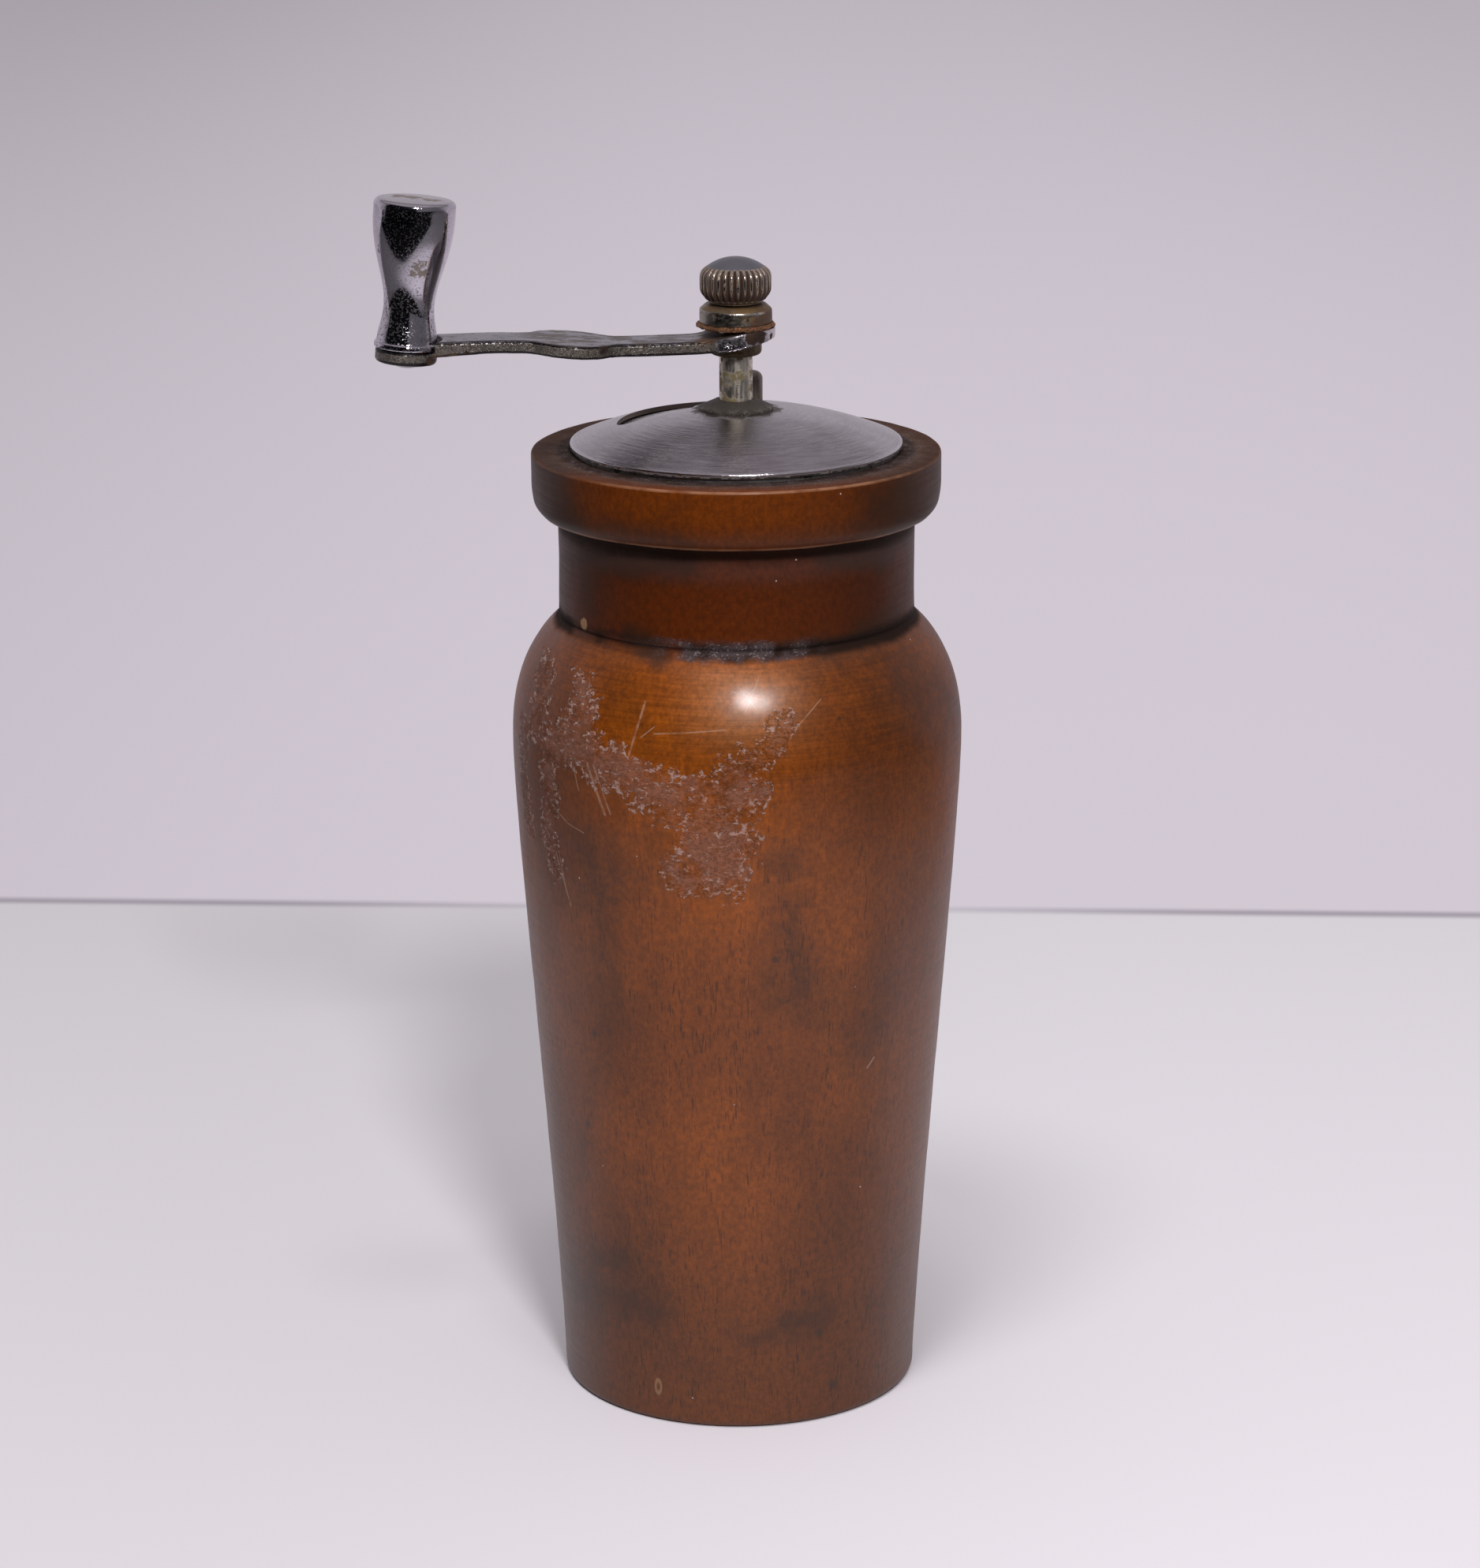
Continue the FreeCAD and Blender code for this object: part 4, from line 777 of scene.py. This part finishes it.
def swirl_mark(at, patches):
    """Where the plate on the lobe's top is worn to brown metal, in loops left by the buff."""
    gap = sums("MINIMUM", distance(at, (-23, 0.5, 165.4)), distance(at, (-10, 0, 166)))
    loops = noise(at, 2.2, 5, (2.4, 1, 1), 0.65)
    return between(gap, 12, 6) * between(loops, 0.44, 0.54, 0, 0.85)


rough_arm = stand("arm_blank", merged_shape("crank_arm"))
remesh = rough_arm.modifiers.new("even skin", "REMESH")
remesh.mode = "VOXEL"
remesh.voxel_size = 0.00018
softened = rough_arm.modifiers.new("ground edges", "SMOOTH")
softened.factor = 0.5
softened.iterations = 14
arm = plain_mesh(rough_arm, "forged_arm")
spots, facing = corner_values(arm, "co") / mm, corner_values(arm, "normal")
side = np.clip((0.97 - np.abs(facing[:, 2])) / 0.97, 0, 1)
side *= np.clip((-2.5 - spots[:, 0]) / 1.5, 0.0, 1)
side *= np.hypot(spots[:, 0] + 49.5, spots[:, 1]) > 2.6
arm.data.attributes.new("forged", "FLOAT", "POINT").data.foreach_set("value", side)
arm_finish = metal_finish(
    "worn arm plate", arm_plate, 0.17, arm_stain, 0.30, (6, 1, 1), 0.5, 0.10, pits=0.10, relief=0.00008,
    marks=[
        (swirl_mark, worn_brown, 0.45, 0.75, -0.2),
        (edge_mark, edge_shadow, 0.30, 0.9, 0.0),
        (side_mark, forged_skin, 0.40, 0.85, 0.6),
        (scale_mark, forge_scale, 0.62, 0.5, -0.7),
        (eye_mark, bright_eye, 0.14, 1.0, 0.0),
        (spot_mark([(-20, -7, 164.8, 2.2), (-17.8, -6.2, 164.7, 2.5), (1.6, -5.7, 165.9, 1.6),
                    (2.8, -5.2, 166, 1.4), (-41, -3.7, 164.6, 0.6), (-46, -3.6, 163.6, 1)], 1.8),
         dark_rust, 0.75, 0.1, 0.5),
        (spot_mark([(4.8, -3.6, 165.6, 0.5), (-1, -5.9, 164.9, 0.3), (-1.6, -5.8, 164.9, 0.3),
                    (-2.2, -5.7, 164.8, 0.35), (-2.9, -5.5, 164.7, 0.3), (-3.6, -5.2, 164.6, 0.35)], 0.5),
         oily_dirt, 0.7, 0.2, -0.9),
        (spot_mark([(0, 0, 166.7, 6.6), (-4.6, -2.6, 166.6, 2.9)], 2.6, 0.75), eye_rust, 0.6, 0.3, 0.1),
        (spot_mark([(-45.4, -3.2, 163.6, 1.6), (-43, -3.2, 163.8, 1.2)], 3, 0.6), boss_rust, 0.6, 0.4, 0.1)])
coat(arm.data, arm_finish)
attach(arm, "crank")
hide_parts("crank_arm")


# The rusty washer and the round nut that clamp the arm: thin sheet with a torn edge, and a turned nut
# whose chamfer has kept its plating.
washer_rust = (0.34, 0.175, 0.085, 1)
washer_stain = (0.17, 0.065, 0.03, 1)
nut_plate = (0.30, 0.28, 0.24, 1)
nut_stain = (0.12, 0.07, 0.035, 1)
nut_rust = (0.095, 0.042, 0.020, 1)
golden_tarnish = (0.15, 0.092, 0.042, 1)
golden_highlight = (0.36, 0.22, 0.09, 1)
highlight_steel = (0.82, 0.76, 0.68, 1)


def chamfer_mark(at, patches):
    """The chamfer has kept a golden tarnish."""
    return between(parts(at)[2], 169.35, 169.5) * between(patches, 0.35, 0.5, 0.5, 0.95)


def edge_highlight_mark(at, patches):
    """A painted highlight along the nut's upper edge, at the front and the back."""
    x, _, z = parts(at)
    return between(z, 168.95, 169.1) * between(z, 169.4, 169.25) * between(abs(x), 4, 2.6, 0, 0.8)


washer = turned("rusty_washer", outline([
    (2.52, 166.7), (5.9, 166.7), (5.95, 166.95), (5.6, 167.3), (2.52, 167.3),
], 0.3, closed=True), metal_finish(
    "washer rust", washer_rust, 0.5, washer_stain, 0.60, pits=0.22, relief=0.00025),
    180, unevenness=0.16, uneven_size=0.9)
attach(washer, "crank")
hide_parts("arm_washer")
nut = turned("clamp_nut", outline([
    (2.52, 167.3), (5.45, 167.3, 0.2), (5.45, 169.3, 0.25), (4.55, 170.1, 0.2), (2.52, 170.1),
], 0.4, closed=True), metal_finish(
    "nut plate", nut_plate, 0.27, nut_stain, 0.42, (1, 1, 0.6), 0.8, 0.18, pits=0.14, marks=[
        (spot_mark([(4, -3.9, 168.2, 2.2), (5.3, -0.5, 168.4, 2.8), (2.2, -5, 167.6, 1.2)], 3.4, 0.85),
         nut_rust, 0.65, 0.4, 0.3),
        (chamfer_mark, golden_tarnish, 0.42, 0.7, 0.0),
        # A painted golden highlight on the front of the chamfer.
        (spot_mark([(0.4, -4.7, 169.8, 2)], 3.5, 0.5), golden_highlight, 0.34, 0.9, 0.0),
        (edge_highlight_mark, highlight_steel, 0.20, 1.0, 0.0)]),
    120, unevenness=0.03, uneven_size=2.0)
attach(nut, "crank")
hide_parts("ring_nut")


# The fluted knob on the rod: turned steel with thirty-two ridges, brown dirt in the grooves, bright worn
# ridges and a smooth domed cap.
knob_plate = (0.58, 0.51, 0.44, 1)
knob_stain = (0.16, 0.085, 0.04, 1)
cap_plate = (0.205, 0.20, 0.225, 1)
foot_tarnish = (0.12, 0.072, 0.028, 1)
groove_dirt = (0.052, 0.021, 0.009, 1)
knob_low_z, cap_low_z, knob_top_z = 170.3, 175.75, 177.1
barrel = smooth([(4.5, 170.8), (5.2, 171.8), (5.4, 173.35), (5.2, 174.9), (4.2, cap_low_z)],
                (0.6, 1.0), (-1.0, 0.55), 0.15)
cap_rise, cap_r = 1.35, 4.2
cap_radius = (cap_r ** 2 + cap_rise ** 2) / (2 * cap_rise)
cap = [(r, knob_top_z - cap_radius + math.sqrt(cap_radius ** 2 - r ** 2)) for r in np.linspace(cap_r, 0, 18)]
knob_line = outline([(1.55, 175.4), (1.55, knob_low_z, 0.1), (4.1, knob_low_z, 0.2), (4.1, 170.8)], 0.4, 0.0)
ridges, ridge_rise = 32, 0.42
for r, z, _ in barrel:
    rise = float(np.clip((z - 170.75) / 0.3, 0, 1) * np.clip((cap_low_z - z) / 0.3, 0, 1))
    knob_line.append((r - ridge_rise * rise, z, rise))
knob_line += [(r, z, 0.0) for r, z in cap[1:]]
knob_line = [(0.0, 175.4, 0.0)] + knob_line


def groove_mark(at, patches):
    """Dirt between the ridges, up to the cap's edge."""
    x, y, z = parts(at)
    hollow = abs(sums("SINE", sums("ARCTAN2", y, x) * (ridges / 2)))
    hollow += (patches - 0.5) * 0.7
    hollow -= between(z, 173.8, 171.5, 0, 0.32)
    band = between(z, 170.6, 171) * between(z, 175.9, 175.5)
    return between(hollow, 0.88, 0.6) * (band * 0.95)


def cap_mark(at, patches):
    """The cap keeps its blue-grey plate."""
    return between(parts(at)[2], 175.6, 175.8)


def foot_mark(at, patches):
    """The foot is golden with tarnish."""
    return between(parts(at)[2], 171.2, 170.8, 0, 0.8)


knob = turned("fluted_knob", knob_line, metal_finish(
    "knob plate", knob_plate, 0.18, knob_stain, 0.42, (1, 1, 3), 0.4, 0.15, pits=0.12, marks=[
        (cap_mark, cap_plate, 0.42, 0.9, 0.0),
        (foot_mark, foot_tarnish, 0.55, 0.6, 0.0),
        (groove_mark, groove_dirt, 0.6, 0.3, -0.5)]),
    384, flutes=ridges, flute_depth=-ridge_rise)
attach(knob, "adjuster")
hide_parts("adjuster_knob")


# The handle: turned, waisted and chromed, and loose on a rivet that is peened under the arm's boss. The
# plate is pitted low down and has brown stains on the front and on the flat top.
handle_plate = (0.58, 0.55, 0.61, 1)
handle_stain = (0.15, 0.12, 0.085, 1)
dulled_plate = (0.38, 0.36, 0.39, 1)
pit_grey = (0.13, 0.12, 0.12, 1)
front_stain = (0.22, 0.17, 0.12, 1)
side_stain = (0.10, 0.075, 0.05, 1)
top_stain = (0.17, 0.12, 0.08, 1)
rivet_plate = (0.40, 0.38, 0.40, 1)
rivet_stain = (0.20, 0.13, 0.08, 1)
handle_lean = math.radians(4.7)
handle_foot = Vector((-49.5, 0, 165.05))
heel_r, ankle_r, grip_r, arm_gap = 4.84, 4.31, 6.08, 0.1
ankle_z, grip_z, handle_length = 2.6, 19.4, 22.3
handle_line = outline([
    (0, 0), (1.95, 0), (heel_r, 0, 0.3), (heel_r, 0.8, 0.25), (4.62, 0.95)], 0.5)
handle_line += smooth([(4.62, 0.95), (ankle_r, ankle_z)], (-0.35, 1.0), (-0.25, 1.0), 0.3)[1:]
handle_line += smooth([(ankle_r, ankle_z), (3.77, 6.8), (4.74, 11.6), (5.82, 16.3), (grip_r, grip_z)],
                      (-0.25, 1.0), (0.0, 1.0), 0.5)[1:]
handle_line += outline([
    (grip_r, grip_z), (grip_r, handle_length - 0.25, 0.9), (3.5, handle_length - 0.1, 1.5),
    (0, handle_length)], 0.5)[1:]
handle_line = [(r, z + arm_gap, free) for r, z, free in handle_line]


def pitted_mark(at, patches):
    """Fine dark pits in the plate of the lower half."""
    return between(noise(at, 0.3, 3), 0.54, 0.64) * between(parts(at)[2], 11, 6, 0.3, 1)


def flat_top_mark(at, patches):
    """The flat top is dulled by the palm."""
    return between(parts(at)[2], 22, 22.2)


handle = turned("waisted_handle", handle_line, metal_finish(
    "handle chrome", handle_plate, 0.05, handle_stain, 0.12, (1, 1, 4), 0.6, 0.03,
    centre=tuple(handle_foot), lean=handle_lean, relief=0.00001, marks=[
        (flat_top_mark, dulled_plate, 0.16, 1.0, 0.0),
        (pitted_mark, pit_grey, 0.35, 0.8, -0.6),
        (spot_mark([(0.5, -4.8, 12.9, 1.1), (1.2, -4.7, 11.9, 0.9), (-0.2, -4.9, 12, 0.6)], 3.2, 0.75),
         front_stain, 0.5, 0.6, 0.1),
        (spot_mark([(-5, -1.8, 14.6, 0.45), (-5.2, -2, 15.4, 0.3)], 1, 0.6), side_stain, 0.5, 0.6, 0.1),
        (spot_mark([(-2.3, 1.2, 22.4, 1.5), (0, 0.3, 22.4, 1.5), (2.1, -1, 22.4, 1.5)], 4, 0.8),
         top_stain, 0.5, 0.5, 0.1)]), 160)
handle.data.transform(Matrix.Translation(handle_foot * mm) @ Matrix.Rotation(handle_lean, 4, "Y"))
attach(handle, "handle")
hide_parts("handle_knob")
dress(metal_finish("rivet plate", rivet_plate, 0.22, rivet_stain, 0.35, pits=0.1), "handle_pin")


# The table and the wall behind it: a pale sheet with a thin dark joint where the wall begins. Both are
# painted on one wide floor, so that nothing stands in the way of the other views. The wall glows, with
# painted shade darker to the far side and the left, and the sheet has painted shade to its left.
floor_tint = (0.731, 0.708, 0.743, 1)
wall_tint = (0.643, 0.585, 0.653, 1)
joint_tint = (0.33, 0.30, 0.35, 1)
wall_distance = 239.3
camera_turn = math.radians(10)


def table_finish():
    finish, shader, at = new_finish("table")
    at.tree.nodes.remove(shader)
    at = node("ShaderNodeVectorRotate", at, None, None, camera_turn, rotation_type="Z_AXIS")
    x, y, _ = parts(at)
    beyond = y + x * 0.046 - wall_distance
    shade = between(y, 2600, 100, 0.75, 1) - between(x, 40, -420, 0, 0.18) - between(x, 120, 420, 0, 0.06)
    line = between(beyond, -4, 0) * between(beyond, 3.5, 0) * between(abs(x), 25, 110, 0.25, 0.8)
    # Painted shade: the sheet is darker to the left and lighter to the right.
    pale = blend(line, scaled(floor_tint[:3], between(x, -110, 90, 0.92, 1.04)), joint_tint)
    # For every ray but the camera's, the sheet is painted darker near its front edge and far from the mill:
    # painted shade in its reflections and in the light it throws back onto the mill.
    near_edge = between(y + x * 0.35, -280, -330, 0, 0.995)
    far = between(node("ShaderNodeVectorMath", at, out=1, operation="LENGTH"), 215, 360, 0.15, 0.78)
    unseen = 1 - node("ShaderNodeLightPath", tree=at.tree, out="Is Camera Ray")
    sheet = node("ShaderNodeBsdfDiffuse", scaled(pale, 1 - most(near_edge, far) * unseen))
    glow = node("ShaderNodeEmission", blend(line, scaled(wall_tint[:3], shade), joint_tint), 1)
    both = node("ShaderNodeMixShader", between(beyond, -1, 1), sheet, glow)
    feed(at.tree.nodes["Material Output"], "Surface", both)
    return finish


sheet = bpy.data.meshes.new("table")
sheet.from_pydata([(-3, -3, 0), (3, -3, 0), (3, 3, 0), (-3, 3, 0)], [], [(0, 1, 2, 3)])
sheet.materials.append(table_finish())
table = stand("table", sheet)


# The room: what bright metal reflects is pale low behind the mill, grey to the sides and dark above and
# towards the viewer. What lights the wood is an even grey.
grey_wall = (0.25, 0.23, 0.25, 1)
pale_wall = (0.54, 0.50, 0.55, 1)
upper_wall = (0.42, 0.385, 0.41, 1)
dark_side = (0.004, 0.004, 0.005, 1)
grey_side = (0.15, 0.143, 0.16, 1)
ceiling = (0.44, 0.405, 0.44, 1)
backdrop = (0.58, 0.53, 0.59, 1)
even_light = (1.0, 0.96, 1.0)
room = bpy.data.worlds.new("room")
room.use_nodes = True
bpy.context.scene.world = room
way = node("ShaderNodeTexCoord", tree=room.node_tree, out="Generated")
x, y, z = parts(node("ShaderNodeVectorRotate", way, None, None, camera_turn, rotation_type="Z_AXIS"))
wall = blend(between(z, 0.58, 0.42), grey_wall, pale_wall)
wall = blend(between(z, 0.58, 0.72), wall, upper_wall)
wall = blend(between(y, -0.1, 0.45), scaled(wall, 0.5), wall)
viewer_side = blend(between(x, 0.08, 0.25), dark_side, grey_side)
mirrored = blend(between(y, -0.14, 0), viewer_side, wall)
mirrored = blend(between(z, 0.74, 0.9), mirrored, ceiling)
diffused = scaled(even_light, between(z, 0.35, 0.85, 0.1, 0.52))
seen = blend(node("ShaderNodeLightPath", tree=way.tree, out="Is Glossy Ray"), diffused, mirrored)
seen = blend(node("ShaderNodeLightPath", tree=way.tree, out="Is Camera Ray"), seen, backdrop)
feed(way.tree.nodes["World Output"], "Surface", node("ShaderNodeBackground", seen, 1))


# Three soft lamps: the main one high in front and a little to the right, one from the left, and one
# nearly overhead, each at its angle to the right of the viewer and its height in degrees.
lamp_tint = (1.0, 0.97, 0.99)
lamp_aim = Vector((0, 0, 0.1))
for name, across, up, away, size, watts in (
    ("main_lamp", 9.3, 39.5, 1.3, 0.19, 9.6), ("left_lamp", -20, 65, 1.3, 0.34, 5.0),
    ("top_lamp", 4, 75, 1.2, 0.16, 1.9),
):
    lamp = bpy.data.lights.new(name, "AREA")
    lamp.shape = "DISK"
    lamp.size = size
    lamp.energy = watts
    lamp.color = lamp_tint
    turn, rise = front + math.radians(across), math.radians(up)
    toward = Vector((math.cos(turn) * math.cos(rise), math.sin(turn) * math.cos(rise), math.sin(rise)))
    holder = stand(name, lamp)
    holder.location = lamp_aim + toward * away
    holder.rotation_euler = toward.to_track_quat("Z", "Y").to_euler()
    holder.visible_glossy = name == "main_lamp"


# The camera stands 682 mm from the spindle and 290 mm up and looks down at 16 degrees, where the
# photograph was taken from. Its focal length was found in the photograph's pixels.
focal_pixels, photo_height, sensor_width = 5838.6, 1988, 36
camera_place = Vector((0, -0.682007, 0.290179))
pitch, yaw, roll = 0.2783487, 0.000581261, -0.00358035
camera = bpy.data.cameras.new("camera")
camera.lens = focal_pixels / photo_height * sensor_width
camera.sensor_width = sensor_width
viewer = stand("camera", camera)
bpy.context.scene.camera = viewer
ahead = Vector((math.sin(yaw) * math.cos(pitch), math.cos(yaw) * math.cos(pitch), -math.sin(pitch)))
level = Vector((math.cos(yaw), -math.sin(yaw), 0))
upward = level.cross(ahead)
right = math.cos(roll) * level + math.sin(roll) * upward
above = math.cos(roll) * upward - math.sin(roll) * level
aim = Matrix((right, above, -ahead)).transposed().to_4x4()
aim.translation = camera_place
viewer.matrix_world = Matrix.Rotation(-camera_turn, 4, "Z") @ aim
bpy.context.scene.view_settings.view_transform = "Standard"
